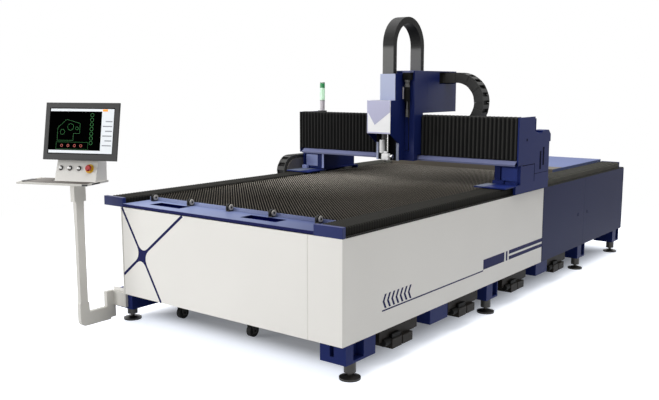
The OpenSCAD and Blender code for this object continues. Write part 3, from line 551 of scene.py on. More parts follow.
def rail_bellows():
    for node, gantry_end in (("bellows_front_left", 1), ("bellows_front_right", 1),
                             ("bellows_rear_left", 0), ("bellows_rear_right", 0)):
        lo, hi = span(node)

        def ring(y, d):
            t = CLOTH_T
            x0, x1 = lo.x + d * SIDE_SHARE, hi.x - d * SIDE_SHARE
            top = hi.z - d
            out = [(x0, lo.z), (x0, top - CORNER), (x0 + CORNER, top),
                   (x1 - CORNER, top), (x1, top - CORNER), (x1, lo.z)]
            inner = [(x0 + t, lo.z), (x0 + t, top - CORNER), (x0 + CORNER, top - t),
                     (x1 - CORNER, top - t), (x1 - t, top - CORNER), (x1 - t, lo.z)]
            return [(x, y, z) for x, z in out + inner[::-1]]

        ends = (lo.y, hi.y) if gantry_end else (hi.y, lo.y)
        mat, top_tone = (RAIL_PLEATS, 1) if gantry_end else (REAR_PLEATS, REAR_TOP_TONE)
        places = pleats(lo.y, hi.y, *RAIL_PLEAT)
        bellows(node + "_cloth", node, mat, places, ring, ("bed", "gantry"), *ends, 1, top_tone)


def beam_bellows():
    for node, carriage_end in (("x_bellows_left", 1), ("x_bellows_right", 0)):
        lo, hi = span(node)

        def ring(x, d):
            t = CLOTH_T
            face, top = lo.y + d, hi.z - d
            out = [(hi.y, lo.z), (face, lo.z), (face, top - CORNER), (face + CORNER, top), (hi.y, top)]
            inner = [(hi.y, lo.z + t), (face + t, lo.z + t), (face + t, top - CORNER),
                     (face + CORNER, top - t), (hi.y, top - t)]
            return [(x, y, z) for y, z in out + inner[::-1]]

        ends = (lo.x, hi.x) if carriage_end else (hi.x, lo.x)
        # Left and right beam bellows differ only by painted light
        mat = LEFT_PLEATS if carriage_end else BEAM_PLEATS
        places = pleats(lo.x, hi.x, *BEAM_PLEAT)
        bellows(node + "_cloth", node, mat, places, ring, ("gantry", "carriage"), *ends, 0)


# Energy chains

LID_T = 5
PLATE_T = 8
LINK_GAP = 0.5
LINK_STEP = 3
OPEN_LID_GAP = 0.25
CLOSED_LID_GAP = 0.005
CORE_SHARE = 0.3
# Painted shade and light of the chains: dark round a closed chain's turn and in the windows, lighter along
# the runs
TURN_SHADE = 24
TURN_TONE = 0.06
OPEN_TONE = 0.26
RUN_TONE = 0.78


def chain(name, node, bodies, place, upper, lower, r, t, width, pitch, closed=False):
    """Links along a lower run, a half turn of outer radius r and an upper run, in that order.

    place(u, v, w) puts the chain's own plane into the machine: u along the runs towards the turn, v across
    them away from the lower run, w over the width. The turn's centre is u = 0, v = 0. A closed chain has
    no windows and is darker at its turn, by painted shade.
    """
    mid = r - t / 2
    turn = math.pi * mid
    total = lower + turn + upper
    count = round(total / pitch)
    step = total / count
    shape = Shape()
    shares = []
    tones = []

    def at(s):
        """Place and outward side of the middle line at s from the still end, and how far it follows."""
        if s <= lower:
            return (s - lower, -mid), (0, -1), 0.5 * s / lower
        if s <= lower + turn:
            angle = (s - lower) / mid - math.pi / 2
            out = (math.cos(angle), math.sin(angle))
            return (mid * out[0], mid * out[1]), out, 0.5
        rest = s - lower - turn
        return (-rest, mid), (0, 1), 0.5 + 0.5 * rest / upper

    def shade(s):
        """Tone of a closed chain's lids at s: painted shade round the turn, painted reflection along the
        runs.
        """
        to_turn = max(lower - s, s - lower - turn, 0)
        return lerp(TURN_TONE, RUN_TONE, min(1, to_turn / TURN_SHADE))

    def bar(s0, s1, n0, n1, w0, w1, tone=None):
        """Part of a link: s0 to s1 along it, n0 to n1 out from its middle line, w0 to w1 over its width."""
        corners = ((n0, w0), (n1, w0), (n1, w1), (n0, w1))
        rings = []
        for k in range(4):
            here = lerp(s0, s1, k / 3)
            (u, v), (out_u, out_v), follow = at(here)
            rings.append([place(u + out_u * n, v + out_v * n, w) for n, w in corners])
            shares.extend([follow] * 4)
            tones.extend([shade(here) if tone is None else tone] * 4)
        shape.rings(rings)

    plate_tone = TURN_TONE if closed else OPEN_TONE
    for i in range(count):
        s = step * i
        end = s + step
        deep = 0 if closed else LINK_STEP * (i % 2)
        edge = step * (CLOSED_LID_GAP if closed else OPEN_LID_GAP)
        under = LID_T if closed else 0
        inset = 0 if closed else PLATE_T + deep
        for w in (deep, width - PLATE_T - deep):
            bar(s + LINK_GAP, end - LINK_GAP, under - t / 2, t / 2 - under, w, w + PLATE_T, plate_tone)
        for n in (-t / 2, t / 2 - LID_T):
            bar(s + edge, end - edge, n, n + LID_T, inset, width - inset, None if closed else OPEN_TONE)
        # Core toned black: painted shade in the windows between the lids
        bar(s, end, -t * CORE_SHARE, t * CORE_SHARE, PLATE_T + deep, width - PLATE_T - deep, 0)
    obj = shape.mesh(name, CHAIN, flat=True)
    set_tone(obj, tones)
    share(obj, *bodies, shares)
    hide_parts(node)


def chains():
    lo, hi = span("x_chain")
    r = (hi.z - lo.z) / 2
    cx, cz = hi.x - r, lo.z + r
    chain("x_chain_links", "x_chain", ("gantry", "carriage"), lambda u, v, w: (cx + u, lo.y + w, cz + v),
          cx - COLUMN_LO.x - 10, cx - lo.x, r, 88, hi.y - lo.y, 58)
    ylo, yhi = span("y_chain")
    yr = (yhi.z - ylo.z) / 2
    cy, ycz = ylo.y + yr, ylo.z + yr
    chain("y_chain_links", "y_chain", ("bed", "gantry"), lambda u, v, w: (ylo.x + w, cy - u, ycz + v),
          yhi.y - 60 - cy, yhi.y - cy, yr, 56, yhi.x - ylo.x, 60)
    zlo, zhi = span("z_chain")
    zr = (zhi.y - zlo.y) / 2
    zy, zz = zlo.y + zr, zhi.z - zr
    chain("z_chain_links", "z_chain", ("carriage", "head"), lambda u, v, w: (zlo.x + w, zy - v, zz + u),
          zz - zlo.z, zz - COLUMN_HI.z, zr, 54, zhi.x - zlo.x, 46, closed=True)


# Slat table

FINE_PITCH = 25
TOOTH_N = 69
TOOTH_H = 26
SLAT_T = 1.6


def slat_table():
    """Thin slats with pointed teeth, set closer than the frame's own."""
    shape = Shape()
    n = round((SLAT_HI.y - SLAT_LO.y) / FINE_PITCH)
    w = (SLAT_HI.x - SLAT_LO.x) / TOOTH_N
    root = SLAT_TOP - TOOTH_H
    for i in range(n):
        y = SLAT_LO.y + FINE_PITCH * i
        points = []
        for side in (y, y + SLAT_T):
            for k in range(TOOTH_N + 1):
                points += [(SLAT_LO.x + w * k, side, SLAT_LO.z), (SLAT_LO.x + w * k, side, root)]
            points += [(SLAT_LO.x + w * (k + 0.5), side, SLAT_TOP) for k in range(TOOTH_N)]
        half = len(points) // 2
        tips = 2 * (TOOTH_N + 1)
        faces = []
        for k in range(TOOTH_N):
            p = 2 * k
            faces += [(p, p + 2, p + 3, p + 1), (p + 1, p + 3, tips + k)]
            faces += [(half + p, half + p + 1, half + p + 3, half + p + 2),
                      (half + p + 1, half + tips + k, half + p + 3)]
            faces += [(p + 1, tips + k, half + tips + k, half + p + 1),
                      (tips + k, p + 3, half + p + 3, half + tips + k),
                      (p, half + p, half + p + 2, p + 2)]
        end = 2 * TOOTH_N
        faces += [(0, 1, half + 1, half), (end, half + end, half + end + 1, end + 1)]
        shape.add(points, faces)
    obj = shape.piece("slat_table", SLAT, "bed", flat=True)
    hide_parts("slats")


CHUTE_TOP = (874, 640)
CHUTE_FOOT = (774, 568)


def scrap_guides():
    """Sloped sheets that lead scrap from the table into the cart, and a strip behind the last slat."""
    shape = Shape()
    for s in (-1, 1):
        (x1, z1), (x0, z0) = CHUTE_TOP, CHUTE_FOOT
        shape.prism([(s * x0, z0), (s * x1, z1), (s * x1, z1 + 3), (s * x0, z0 + 3)], "y", 70, 2590)
    shape.box(SLAT_LO.x, SLAT_HI.x, SLAT_HI.y + 3, 3498, 884, 886)
    shape.piece("scrap_guides", IRON, "bed", flat=True)


# Painted marks

MARK_T = 0.6
ARM_W = 19
NODE_R = 105


def crossing_stripes():
    """Four stripes that run into each other in a filled node on the front panel, and a grey line of painted
    shade along its left edge.
    """
    node = Vector((-675, 554))
    ends = [Vector((-879, 880)), Vector((-249, 880)), Vector((-488, 247)), Vector((-880, 393))]
    ways = [(end - node).normalized() for end in ends]
    sides = [Vector((-way.y, way.x)) * ARM_W / 2 for way in ways]
    outline = []
    for i, end in enumerate(ends):
        nxt = (i + 1) % len(ends)
        start = node + ways[i] * NODE_R - sides[i]
        stop = node + ways[nxt] * NODE_R + sides[nxt]
        outline += [end + sides[i], end - sides[i]]
        outline += [start.lerp(node, k / 8).lerp(node.lerp(stop, k / 8), k / 8) for k in range(9)]
    shape = Shape()
    shape.prism([tuple(p) for p in outline], "y", PANEL_LO.y - MARK_T, PANEL_LO.y)
    shape.piece("front_stripes", DECAL, "slag_cart", flat=True)
    # Grey line down the panel's left edge: painted shade of its rounded edge
    edge = Shape()
    edge.box(PANEL_LO.x + 1, PANEL_LO.x + 5, PANEL_LO.y - MARK_T, PANEL_LO.y, PANEL_LO.z + 3, PANEL_HI.z - 3)
    edge.piece("front_edge_shade", EDGE_SHADE, "slag_cart", flat=True)


def side_marks():
    """Chevrons, a thin line, a block and two stripes along the right side."""
    x = SIDE_HI.x
    base = 380
    top = 455
    mid = (base + top) / 2 + 12
    half = 45
    lean = 24
    w = 20
    shape = Shape()
    for i in range(7):
        y = 412 + 48 * i
        back = y + lean
        outline = [(back, mid + half), (back + w, mid + half), (y + w, mid),
                   (back + w, mid - half), (back, mid - half), (y, mid)]
        shape.prism(outline, "x", x, x + MARK_T)
    shape.box(x, x + MARK_T, 406, 1750, base - 12, base - 3)
    shape.box(x, x + MARK_T, 1750, 2105, base, top)
    shape.box(x, x + MARK_T, 2132, 2160, base, top)
    shape.box(x, x + MARK_T, 2186, SIDE_HI.y - 2, top - 30, top)
    shape.box(x, x + MARK_T, 2186, SIDE_HI.y - 2, base, base + 28)
    shape.piece("side_marks", DECAL, "bed", flat=True)


# Head and carriage

def head_details():
    """Rim and pointed field on the head plate, the slide's pale front, and what hangs below the cover, with
    a dark plate of painted shade behind it.
    """
    y = HEAD_LO.y
    rim = 8
    field = Shape()
    field.box(HEAD_LO.x, HEAD_LO.x + rim, y - 1.2, y, HEAD_LO.z, HEAD_HI.z)
    field.box(HEAD_LO.x + rim, HEAD_HI.x - 3, y - 1.2, y, HEAD_LO.z, HEAD_LO.z + 12)
    field.prism([(HEAD_LO.x + rim, HEAD_HI.z - 2), (HEAD_HI.x - 3, HEAD_HI.z - 2), (HEAD_HI.x - 3, 1520),
                 (-31, 1413), (HEAD_LO.x + rim, 1517)], "y", y - 1.2, y)
    field.piece("head_plate_field", LILAC, "head", flat=True)

    front = Shape()
    front.box(SLIDE_LO.x, SLIDE_HI.x, SLIDE_LO.y - 2, SLIDE_LO.y, HEAD_HI.z, SLIDE_HI.z)
    for x0, x1 in ((-99, -79), (SLIDE_HI.x - 24, SLIDE_HI.x)):
        front.box(x0, x1, LOWER_Y - 6, LOWER_Y, SLIDE_LO.z, 1262)
    front.piece("slide_front", FRONT_PALE, "head", bevel=0.6)

    back = Shape()
    # Near-black plate behind the head: painted shade under the cover
    back.box(-79, SLIDE_HI.x - 24, LOWER_Y - 4, LOWER_Y, SLIDE_LO.z + 2, HEAD_LO.z + 10)
    back.piece("head_back_shade", DARK, "head", bevel=1)

    y = HEAD_Y - 45
    body = Shape()
    body.turn([(20, 0), (22, 3), (22, 106), (20, 109)], (8, y, 1180), "z", 28)
    body.box(12, 78, y - 18, y + 18, 1122, 1176)
    body.turn([(13, 0), (13, 12), (8, 18)], (45, y, 1176), "z", 20)
    body.piece("head_housing", LIT_WHITE, "head", bevel=3)
    rods = Shape()
    rods.turn([(5, 0), (5, 150)], (63, y, 1190), "z", 14)
    rods.turn([(6, 0), (6, 22), (19, 24), (19, 32), (16, 35)], (78, y, 1153), "x", 18)
    rods.turn([(15, 0), (15, 14), (9, 22)], (46, y, 1122), "z", 18)
    rods.piece("head_rods", SILVER, "head")


def column_details():
    """Way of the lift screw darkened by painted shade, with its bracket, coupling, motor and shaft beside
    the slide, a painted highlight on the motor's edge and a cap lightened by painted highlight.
    """
    lo, hi = span("z_motor")
    cx = (lo.x + hi.x) / 2
    back = Shape()
    # Near-black sheet at the back of the screw way: painted shade
    back.box(cx - 42, cx + 42, COLUMN_LO.y + 90, COLUMN_LO.y + 95.5, 1480, COLUMN_HI.z - 30)
    back.piece("screw_way_shade", DARK, "carriage", flat=True)
    x, y = SLIDE_HI.x + 40, COLUMN_LO.y - 32
    bracket = Shape()
    bracket.box(x - 34, x + 34, y - 20, COLUMN_LO.y, 1781, 1838)
    bracket.turn([(24, 0), (24, 100), (20, 104), (20, 118)], (x, y, 1604), "z", 28)
    bracket.piece("lift_motor", DRIVE, "carriage", bevel=1.5)
    metal = Shape()
    metal.turn([(22, 0), (22, 20), (18, 22), (18, 38), (22, 40), (22, 59)], (x, y, 1722), "z", 28)
    metal.turn([(11, 0), (11, 60), (7, 62), (7, 127)], (x, y, 1477), "z", 20)
    metal.piece("lift_coupling", LIFT_STEEL, "carriage")
    edge = Shape()
    # Pale sliver down the motor's side: a painted highlight
    edge.box(x - 34, x - 26, y - 16, y - 8, 1625, 1722)
    edge.piece("lift_motor_highlight", POST, "carriage")
    cap = Shape()
    # The cap's light navy is a painted highlight on the column's top
    cap.box(SLIDE_HI.x + 2, COLUMN_HI.x - 8, y - 22, COLUMN_LO.y, 1838, 1854)
    cap.piece("lift_cap", LEDGE, "carriage", bevel=4)
    cover = Shape()
    cover.box(SLIDE_HI.x + 2, cx + 36, COLUMN_LO.y - 1.5, COLUMN_LO.y, 1196, 1474)
    cover.piece("screw_cover", GLOSS_NAVY, "carriage", bevel=0.6)
    rear = Shape()
    rear.box(x - 8, x + 8, y + 20, COLUMN_LO.y, 1470, 1781)
    rear.piece("lift_motor_rail", IRON, "carriage", bevel=1)


def beam_covers():
    """Dark sheet on top of the beam, the plate along its front ledge lightened by painted reflection, and
    the trim at its left end.
    """
    top = Shape()
    top.box(BEAM_LO.x, BEAM_HI.x, BEAM_LO.y + 116, BEAM_HI.y, BEAM_HI.z, BEAM_HI.z + 3)
    top.piece("beam_top_sheet", CLOTH, "gantry", bevel=1)
    ledge = Shape()
    y0, z0 = BEAM_LO.y, BEAM_LO.z + 2
    section = [(y0 - 2, z0), (y0 - 2, z0 + 13), (y0 + 34, z0 + 39.5),
               (y0 + 36, z0 + 38), (y0, z0 + 12), (y0, z0)]
    ledge.prism(section, "x", -RAIL_HALF + 30, BEAM_HI.x - 0.5)
    ledge.piece("ledge_plate", LEDGE, "gantry")
    trim = Shape()
    trim.box(END_LO.x, BEAM_LO.x, END_LO.y - 0.8, END_LO.y, BEAM_LO.z + 30, END_HI.z)
    trim.box(BEAM_LO.x, BEAM_LO.x + 0.6, END_LO.y - 0.8, END_LO.y + 12.5, BEAM_LO.z + 46, END_HI.z)
    trim.piece("left_end_trim", CLOTH, "gantry", flat=True)


SLOT_LEFTS = (LIP_LO.x + 184, LIP_HI.x - 674)
SLOT_L = 305
SLOT_Y = (92.2, 195.8)
LINER_T = 1.2


def lip_details():
    """Dark front edge of the lip, the strip along its rear edge and the wells of its two slots, darkened by
    painted shade.
    """
    edge = Shape()
    edge.box(LIP_LO.x, LIP_HI.x, LIP_LO.y - 1, LIP_LO.y, LIP_LO.z + 1, LIP_HI.z - 1)
    edge.piece("lip_edge", DECAL, "bed", flat=True)
    strip = Shape()
    # Pale strip behind the lip, coloured as the lip's painted reflection
    strip.box(LIP_LO.x + 2, LIP_HI.x - 2, LIP_HI.y - 3, LIP_HI.y, LIP_HI.z, LIP_HI.z + 25)
    strip.piece("lip_strip", LIP_BACK, "bed", bevel=0.8)
    wells = Shape()
    y0, y1 = SLOT_Y
    z0, z1 = LIP_LO.z + 1, LIP_HI.z - 0.4
    for left in SLOT_LEFTS:
        x0, x1 = left + 0.2, left + SLOT_L - 0.2
        wells.box(x0, x1, y0, y1, LIP_LO.z, z0)
        wells.box(x0, x1, y1 - LINER_T, y1, z0, z1)
        wells.box(x0, x1, y0, y0 + LINER_T, z0, z1)
        wells.box(x0, x0 + LINER_T, y0 + LINER_T, y1 - LINER_T, z0, z1)
        wells.box(x1 - LINER_T, x1, y0 + LINER_T, y1 - LINER_T, z0, z1)
    wells.piece("lip_wells", WELL_SHADE, "bed", flat=True)


ROLLER_N = 5
ROLLER_R = 22.5
CAP_R = 19.5


def roller_caps():
    """Round pale cap with a dark hub on the right side of each roller holder."""
    lo, hi = span("roller_brackets")
    y = (lo.y + hi.y) / 2
    z = span("loading_rollers")[1].z - ROLLER_R
    pale = Shape()
    hubs = Shape()
    for i in range(ROLLER_N):
        x = hi.x - (hi.x - lo.x - 30) * i / (ROLLER_N - 1)
        pale.turn([(CAP_R - 2, 0), (CAP_R, 1.5), (CAP_R, 5), (CAP_R - 2, 6.5)], (x, y, z), "x", 28)
        hubs.turn([(8, 6.5), (8, 8)], (x, y, z), "x", 20)
    pale.piece("roller_caps", CREAM, "bed")
    hubs.piece("roller_cap_hubs", BEZEL, "bed")


def deck_edges():
    """Dark seals along the outer edges of the rail decks."""
    shape = Shape()
    for s in (-1, 1):
        x0, x1 = sorted((s * RAIL_HALF, s * (RAIL_HALF + MARK_T)))
        shape.box(x0, x1, 32, 4900, 882.2, DECK_Z + 0.3)
        x0, x1 = sorted((s * (RAIL_HALF - 14.5), s * RAIL_HALF))
        shape.box(x0, x1, 32, 4900, DECK_Z, DECK_Z + 0.3)
    shape.piece("deck_edge_seals", CLOTH, "bed", flat=True)


GUARD_SHARE = 0.8
GUARD_N = 16
GUARD_T = 5


def leg_details():
    """Sheets on the gantry's base plates lightened by painted reflection, bay panels lightened by painted
    light, and what stands on its legs beside the chain guard.
    """
    shape = Shape()
    for x0, x1 in ((-1100, -935), (834, 916)):
        shape.box(x0, x1, LEG_LO.y + 3, 2286, 960, 960.8)
    shape.piece("base_sheets", BASE_SHEET, "gantry", flat=True)
    navy = Shape()
    navy.box(-906, -881, 2300, 2312, 960, 971)
    navy.box(-906, -854, 2300, 2312, 971, 1106)
    navy.box(881, 906, 2300, 2312, 964, 1106)
    navy.box(884, 980, 2262, 2298, 960, 990)
    navy.box(990, 1086, 2262, 2298, 960, 984)
    navy.piece("leg_flanges", NAVY, "gantry", bevel=1)
    # Left bay panel, flange and block in lighter paint: painted light
    left = Shape()
    left.box(-1075, -932, 2311, 2315.5, 984, 1090)
    left.box(-878, -856, 2298.5, 2300, 971, 1104)
    left.box(-1088, -1034, 2262, 2296, 960, 990)
    left.piece("left_bay_panel", LEFT_BAY_LIT, "gantry", bevel=1)
    # Right bay panel in brighter navy: painted light
    right = Shape()
    right.box(938, 1074, 2309, 2315.5, 984, 1090)
    right.piece("right_bay_panel", BAY_LIT, "gantry", bevel=1)
    guard = Shape()
    ylo, yhi = span("y_chain")
    half = (yhi.z - ylo.z) / 2
    cy, cz = ylo.y + half, ylo.z + half
    r = GUARD_SHARE * half
    turns = [math.pi * k / GUARD_N for k in range(GUARD_N + 1)]
    arc = [(cy - r * math.sin(a), cz + r * math.cos(a)) for a in turns]
    guard.prism(arc + [(2312, cz - r), (2312, cz + r)], "x", -LEG_HI.x - GUARD_T, -LEG_HI.x)
    guard.piece("chain_guard", GUARD, "gantry", bevel=1)


def cover_flap():
    """Brownish sheet over the front edge of the rear cover."""
    lo, hi = span("rear_top_cover")
    shape = Shape()
    shape.box(lo.x, hi.x, lo.y - 1.2, lo.y, lo.z, hi.z + 1.2)
    shape.box(lo.x, hi.x, lo.y, lo.y + 230, hi.z, hi.z + 1.2)
    shape.piece("cover_flap", FLAP_BROWN, "bed", flat=True)


# Exhaust dampers under the right side
DAMPER_YS = (660, 1523, 2386, 3249)


def damper_details():
    """Drive block and cylinder on top of each damper box, and the rest of its back plate."""
    shape = Shape()
    for y in DAMPER_YS:
        shape.box(1040, 1068, y - 118, y - 20, 158, 190)
        shape.box(958, 1068, y - 13.6, y - 6.4, 100, 170)
        shape.turn([(22, 0), (25, 4), (25, 70), (22, 74)], (1046, y - 196, 146), "y", 24)
    shape.piece("damper_drives", DRIVE, "bed", bevel=2)
    plates = Shape()
    for y in DAMPER_YS:
        plates.box(997, 1043, y + 178, y + 218, 154, 249)
    plates.piece("damper_plate_ends", DAMPER, "bed", bevel=1)


# Console

SCREEN_HALF = 261.5
SCREEN_LOW = 44
SCREEN_HIGH = 372


def draw(shape, points, width):
    """Thin line through points on the screen."""
    for a, b in zip(points, points[1:]):
        a, b = Vector(a), Vector(b)
        side = (b - a).normalized().orthogonal() * width / 2
        shape.prism([tuple(a + side), tuple(b + side), tuple(b - side), tuple(a - side)], "z", -1, -0.6)


def ring_of(cx, cy, r, n=16):
    turns = [2 * math.pi * i / n for i in range(n + 1)]
    return [(cx + r * math.cos(a), cy + r * math.sin(a)) for a in turns]


def screen_panel():
    """Plain drawing window: thin outlines of sheet parts, a pale tool bar and one orange tab."""
    lift = -0.6
    right = SCREEN_HALF - 100
    pale = Shape(MONITOR)
    pale.box(right, SCREEN_HALF - 5, SCREEN_LOW + 6, SCREEN_HIGH - 6, -1, lift)
    pale.box(-SCREEN_HALF + 6, right, SCREEN_LOW + 6, SCREEN_LOW + 26, -1, lift)
    pale.box(-SCREEN_HALF + 6, right, SCREEN_HIGH - 24, SCREEN_HIGH - 6, -1, lift)
    pale.piece("screen_bars", UI_PALE, "console", flat=True)
    green = Shape(MONITOR)
    part = [(-190, 140), (-60, 140), (-60, 190), (-10, 190),
            (-10, 262), (-120, 290), (-190, 230), (-190, 140)]
    draw(green, part, 1.3)
    for cx, cy, r in ((-150, 200, 18), (-86, 236, 24), (-34, 226, 11)):
        draw(green, ring_of(cx, cy, r), 1.3)
    for i in range(7):
        draw(green, ring_of(84, 124 + 33 * i, 13, 10), 2)
    draw(green, [(-196, 78), (62, 78), (62, 128), (-196, 128), (-196, 78)], 1.1)
    green.piece("screen_outlines", UI_GREEN, "console", flat=True)
    red = Shape(MONITOR)
    for i in range(4):
        draw(red, ring_of(-150 + 52 * i, 103, 9, 8), 3)
    red.piece("screen_figures", UI_RED, "console", flat=True)
    grey = Shape(MONITOR)
    for i in range(6):
        z = SCREEN_LOW + 60 + 34 * i
        grey.box(right + 12 + 20 * (i % 2), SCREEN_HALF - 14, z, z + 7, lift - 0.1, lift + 0.3)
    grey.piece("screen_lines", UI_GREY, "console", flat=True)
    orange = Shape(MONITOR)
    orange.box(right + 4, right + 44, SCREEN_HIGH - 24, SCREEN_HIGH - 8, lift - 0.1, lift + 0.3)
    orange.piece("screen_tab", UI_ORANGE, "console", flat=True)


BUTTON_US = (-187, -113, -38)


def console_details():
    """Rings round the push buttons, the tray's mat darkened to the right by painted shade, black blocks of
    painted shade in the tray's rim slots, and the skirt beside the arm.
    """
    for i, u in enumerate(BUTTON_US):
        ring = Shape(on_face(u))
        ring.turn([(18, 0), (18, 3), (15.5, 5.2)], (0, 0, 0), "z", 28)
        ring.piece(f"button_ring_{i + 1}", BEZEL, "console")
    mat = Shape(CONSOLE)
    mat.box(-400, 112, -70, 46, TRAY_Z, TRAY_Z + 0.6)
    mat.box(-400, -250, 46, 196, TRAY_Z, TRAY_Z + 0.6)
    mat.piece("tray_mat", MAT, "console", flat=True)
    # Black blocks for the slots in the tray's rims: painted shade
    slot_shades = Shape(CONSOLE)
    slot_shades.box(-446, -404, -21, 101, TRAY_Z - 7, TRAY_Z + 3)
    slot_shades.box(119.6, 120.8, -10, 92, TRAY_Z - 13, TRAY_Z - 2)
    slot_shades.box(84, 120.8, -79, -64, TRAY_Z - 13, TRAY_Z - 1)
    slot_shades.piece("tray_slot_shades", BLACK, "console", bevel=1)
    skirt = Shape()
    skirt.box(-1078, -884, 52.2, 54.6, 237, 264)
    skirt.piece("left_front_skirt", WHITE, "bed", flat=True)


# Fittings

def end_seams():
    """Joint lines, with painted shade for the cooling slots and the hole, on the gantry ends."""
    shape = Shape()
    for s in (-1, 1):
        x0, x1 = sorted((s * END_HI.x, s * (END_HI.x + MARK_T)))
        shape.box(x0, x1, 2330, 2566, 1106, 1112)
        shape.box(x0, x1, 2560, 2566, 968, 1106)
        shape.box(x0, x1, 2560, 2840, 1026, 1030)
        # Cooling slots and the hole: dark patches of painted shade
        for y, low in ((2660, 1056), (2720, 1086)):
            shape.box(x0, x1, y, y + 30, low, low + 150)
        shape.turn([(12, x0), (12, x1)], (0, 2400, 1310), "x", 20)
    shape.piece("end_seams", SEAM, "gantry", flat=True)


def tower_rings():
    """Rings of the signal tower, its foot, the deep green top and the pale bars of the lens."""
    cx = (LIGHT_LO.x + LIGHT_HI.x) / 2
    cy = (LIGHT_LO.y + LIGHT_HI.y) / 2
    r = (LIGHT_HI.x - LIGHT_LO.x) / 2
    shape = Shape()
    for z in (LIGHT_LO.z, LIGHT_HI.z - 6):
        shape.turn([(r + 0.6, 0), (r + 0.6, 3)], (cx, cy, z), "z", 32)
    shape.turn([(42, 0), (42, 24), (38, 27)], (cx, cy, BEAM_HI.z + 3), "z", 32)
    shape.piece("tower_rings", BLACK, "gantry")
    top = Shape()
    top.turn([(r + 0.4, 0), (r + 0.4, 44)], (cx, cy, LIGHT_HI.z - 54), "z", 32)
    top.piece("tower_top_band", DEEP_GREEN, "gantry")
    lit = Shape()
    for i in range(8):
        lit.at = Matrix.Translation((cx, cy, 0)) @ Matrix.Rotation(2 * math.pi * (i + 0.5) / 8, 4, "Z")
        lit.box(r - 1.5, r + 0.5, -5.5, 5.5, LIGHT_LO.z + 12, LIGHT_HI.z - 58)
    lit.piece("tower_lit_bars", GREEN, "gantry", bevel=0.8)


# Studio

CAMERA_AT = Vector((3711, -3523, 1750))
CAMERA_AZIMUTH = math.radians(37.70)
CAMERA_PITCH = math.radians(8.317)
LENS = 43.468


def camera():
    data = bpy.data.cameras.new("camera")
    data.lens = LENS
    data.clip_end = 200
    cam = bpy.data.objects.new("camera", data)
    cam.location = CAMERA_AT * MM + ORIGIN
    cam.rotation_euler = (math.pi / 2 - CAMERA_PITCH, 0, CAMERA_AZIMUTH)
    bpy.context.collection.objects.link(cam)
    bpy.context.scene.camera = cam


def seen_rays(tree):
    """One for rays that show the background: camera, glossy and transmission rays."""
    path = tree.nodes.new("ShaderNodeLightPath")
    rays = ("Is Camera Ray", "Is Glossy Ray", "Is Transmission Ray")
    return largest(tree, [path.outputs[ray] for ray in rays])


SKY = 0.26


def world():
    sky = bpy.data.worlds.new("studio")
    sky.use_nodes = True
    tree = sky.node_tree
    tree.nodes.clear()
    light = tree.nodes.new("ShaderNodeBackground")
    light.inputs["Color"].default_value = (1, 1, 1, 1)
    light.inputs["Strength"].default_value = SKY
    seen = tree.nodes.new("ShaderNodeBackground")
    seen.inputs["Color"].default_value = (1, 1, 1, 1)
    seen.inputs["Strength"].default_value = 1.0
    mix = tree.nodes.new("ShaderNodeMixShader")
    out = tree.nodes.new("ShaderNodeOutputWorld")
    tree.links.new(seen_rays(tree), mix.inputs["Fac"])
    tree.links.new(light.outputs[0], mix.inputs[1])
    tree.links.new(seen.outputs[0], mix.inputs[2])
    tree.links.new(mix.outputs[0], out.inputs["Surface"])
    bpy.context.scene.world = sky


FLOOR_HALF = 40
SHADOW_NEAR = 3.4
SHADOW_FAR = 6.0
# Where the painted shadow under the machine ends on each side: axis, darkest place and lightest place, in
# metres
SHADOW_SIDES = (("X", 0.78, 1.2), ("X", -0.85, -1.2), ("Y", 0.46, 0.14), ("Y", 4.6, 5.1))
# Light added to the floor under the machine and in the open; the smaller lift under it paints a shadow there
UNDER_LIFT = 0.16
OPEN_LIFT = 0.85
BOUNCE = 0.56
FLOOR_COLOUR = (0.8, 0.8, 0.81, 1)
LIFT_COLOUR = (0.92, 0.97, 1.06, 1)


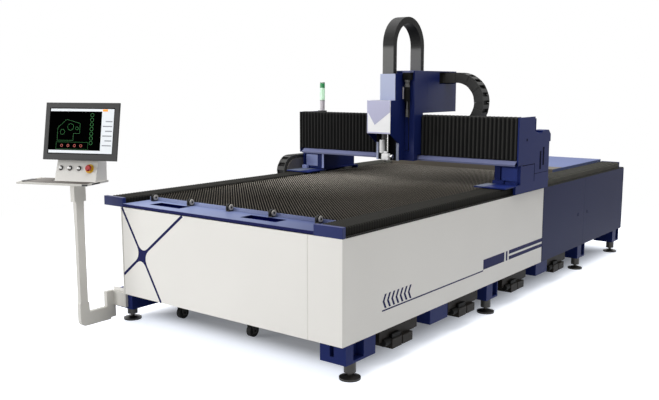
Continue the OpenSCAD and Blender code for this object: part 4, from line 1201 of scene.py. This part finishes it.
def floor():
    """Pale floor that keeps the cast shadow near the machine, paints a shadow under it and is plain white
    further off.
    """
    mat = bpy.data.materials.new("studio_floor")
    mat.use_nodes = True
    tree = mat.node_tree
    tree.nodes.clear()
    plain = tree.nodes.new("ShaderNodeBsdfDiffuse")
    plain.inputs["Color"].default_value = FLOOR_COLOUR
    bounce = tree.nodes.new("ShaderNodeBsdfDiffuse")
    bounce.inputs["Color"].default_value = (BOUNCE, BOUNCE, BOUNCE, 1)
    lift = tree.nodes.new("ShaderNodeEmission")
    lift.inputs["Color"].default_value = LIFT_COLOUR
    near = tree.nodes.new("ShaderNodeAddShader")
    white = tree.nodes.new("ShaderNodeEmission")
    white.inputs["Strength"].default_value = 1.0
    where = tree.nodes.new("ShaderNodeTexCoord")
    length = tree.nodes.new("ShaderNodeVectorMath")
    length.operation = "LENGTH"
    fade = tree.nodes.new("ShaderNodeMapRange")
    fade.interpolation_type = "SMOOTHSTEP"
    fade.inputs["From Min"].default_value = SHADOW_NEAR
    fade.inputs["From Max"].default_value = SHADOW_FAR
    split = tree.nodes.new("ShaderNodeSeparateXYZ")
    lifts = []
    for axis, dark, light in SHADOW_SIDES:
        side = tree.nodes.new("ShaderNodeMapRange")
        side.interpolation_type = "SMOOTHSTEP"
        away = ORIGIN.x if axis == "X" else ORIGIN.y
        side.inputs["From Min"].default_value = dark + away
        side.inputs["From Max"].default_value = light + away
        side.inputs["To Min"].default_value = UNDER_LIFT
        side.inputs["To Max"].default_value = OPEN_LIFT
        tree.links.new(split.outputs[axis], side.inputs["Value"])
        lifts.append(side.outputs["Result"])
    seen = tree.nodes.new("ShaderNodeMixShader")
    mix = tree.nodes.new("ShaderNodeMixShader")
    out = tree.nodes.new("ShaderNodeOutputMaterial")
    tree.links.new(plain.outputs[0], near.inputs[0])
    tree.links.new(lift.outputs[0], near.inputs[1])
    tree.links.new(where.outputs["Object"], split.inputs["Vector"])
    tree.links.new(largest(tree, lifts), lift.inputs["Strength"])
    tree.links.new(where.outputs["Object"], length.inputs[0])
    tree.links.new(length.outputs["Value"], fade.inputs["Value"])
    tree.links.new(fade.outputs["Result"], seen.inputs["Fac"])
    tree.links.new(near.outputs[0], seen.inputs[1])
    tree.links.new(white.outputs[0], seen.inputs[2])
    tree.links.new(seen_rays(tree), mix.inputs["Fac"])
    tree.links.new(bounce.outputs[0], mix.inputs[1])
    tree.links.new(seen.outputs[0], mix.inputs[2])
    tree.links.new(mix.outputs[0], out.inputs["Surface"])
    data = bpy.data.meshes.new("floor")
    h = FLOOR_HALF
    data.from_pydata([(-h, -h, 0), (h, -h, 0), (h, h, 0), (-h, h, 0)], [], [(0, 1, 2, 3)])
    data.materials.append(mat)
    obj = bpy.data.objects.new("floor", data)
    bpy.context.collection.objects.link(obj)


def lamp(name, at, aim, size, power):
    """A soft box at `at` that faces `aim`, in metres of the machine's frame."""
    data = bpy.data.lights.new(name, "AREA")
    data.shape = "RECTANGLE"
    data.size, data.size_y = size
    data.energy = power
    obj = bpy.data.objects.new(name, data)
    obj.location = Vector(at) + ORIGIN
    way = Vector(aim) - Vector(at)
    obj.rotation_euler = way.to_track_quat("-Z", "Y").to_euler()
    bpy.context.collection.objects.link(obj)


def lights():
    lamp("overhead", (-0.5, 1.5, 7.0), (0, 2.4, 0), (9, 9), 800)
    lamp("front_left", (-6.5, -6.5, 2.6), (0, 1.5, 1.0), (5, 4), 410)
    lamp("front_right", (4.6, -3.2, 1.6), (1.1, 0.8, 0.6), (2, 2), 16)


# The machine

FINE_LOOKS = (RED, SILVER, COPPER, YELLOW, GLASS)
FINE_EDGE = 1.5
NODE_EDGE = 2.5


def frame_looks():
    """Materials and softened edges for the CAD nodes that stay in view."""
    for mat, names in NODE_LOOKS.items():
        for name in names.split():
            obj = frame["nodes"][name]
            obj.data.materials.clear()
            obj.data.materials.append(mat)
            soften(obj, FINE_EDGE if mat in FINE_LOOKS else NODE_EDGE, weld=True)


frame_looks()
rail_bellows()
beam_bellows()
chains()
slat_table()
scrap_guides()
crossing_stripes()
side_marks()
head_details()
column_details()
beam_covers()
lip_details()
roller_caps()
deck_edges()
leg_details()
cover_flap()
damper_details()
screen_panel()
console_details()
end_seams()
tower_rings()
camera()
world()
floor()
lights()

scene = bpy.context.scene
scene.view_settings.view_transform = "Standard"
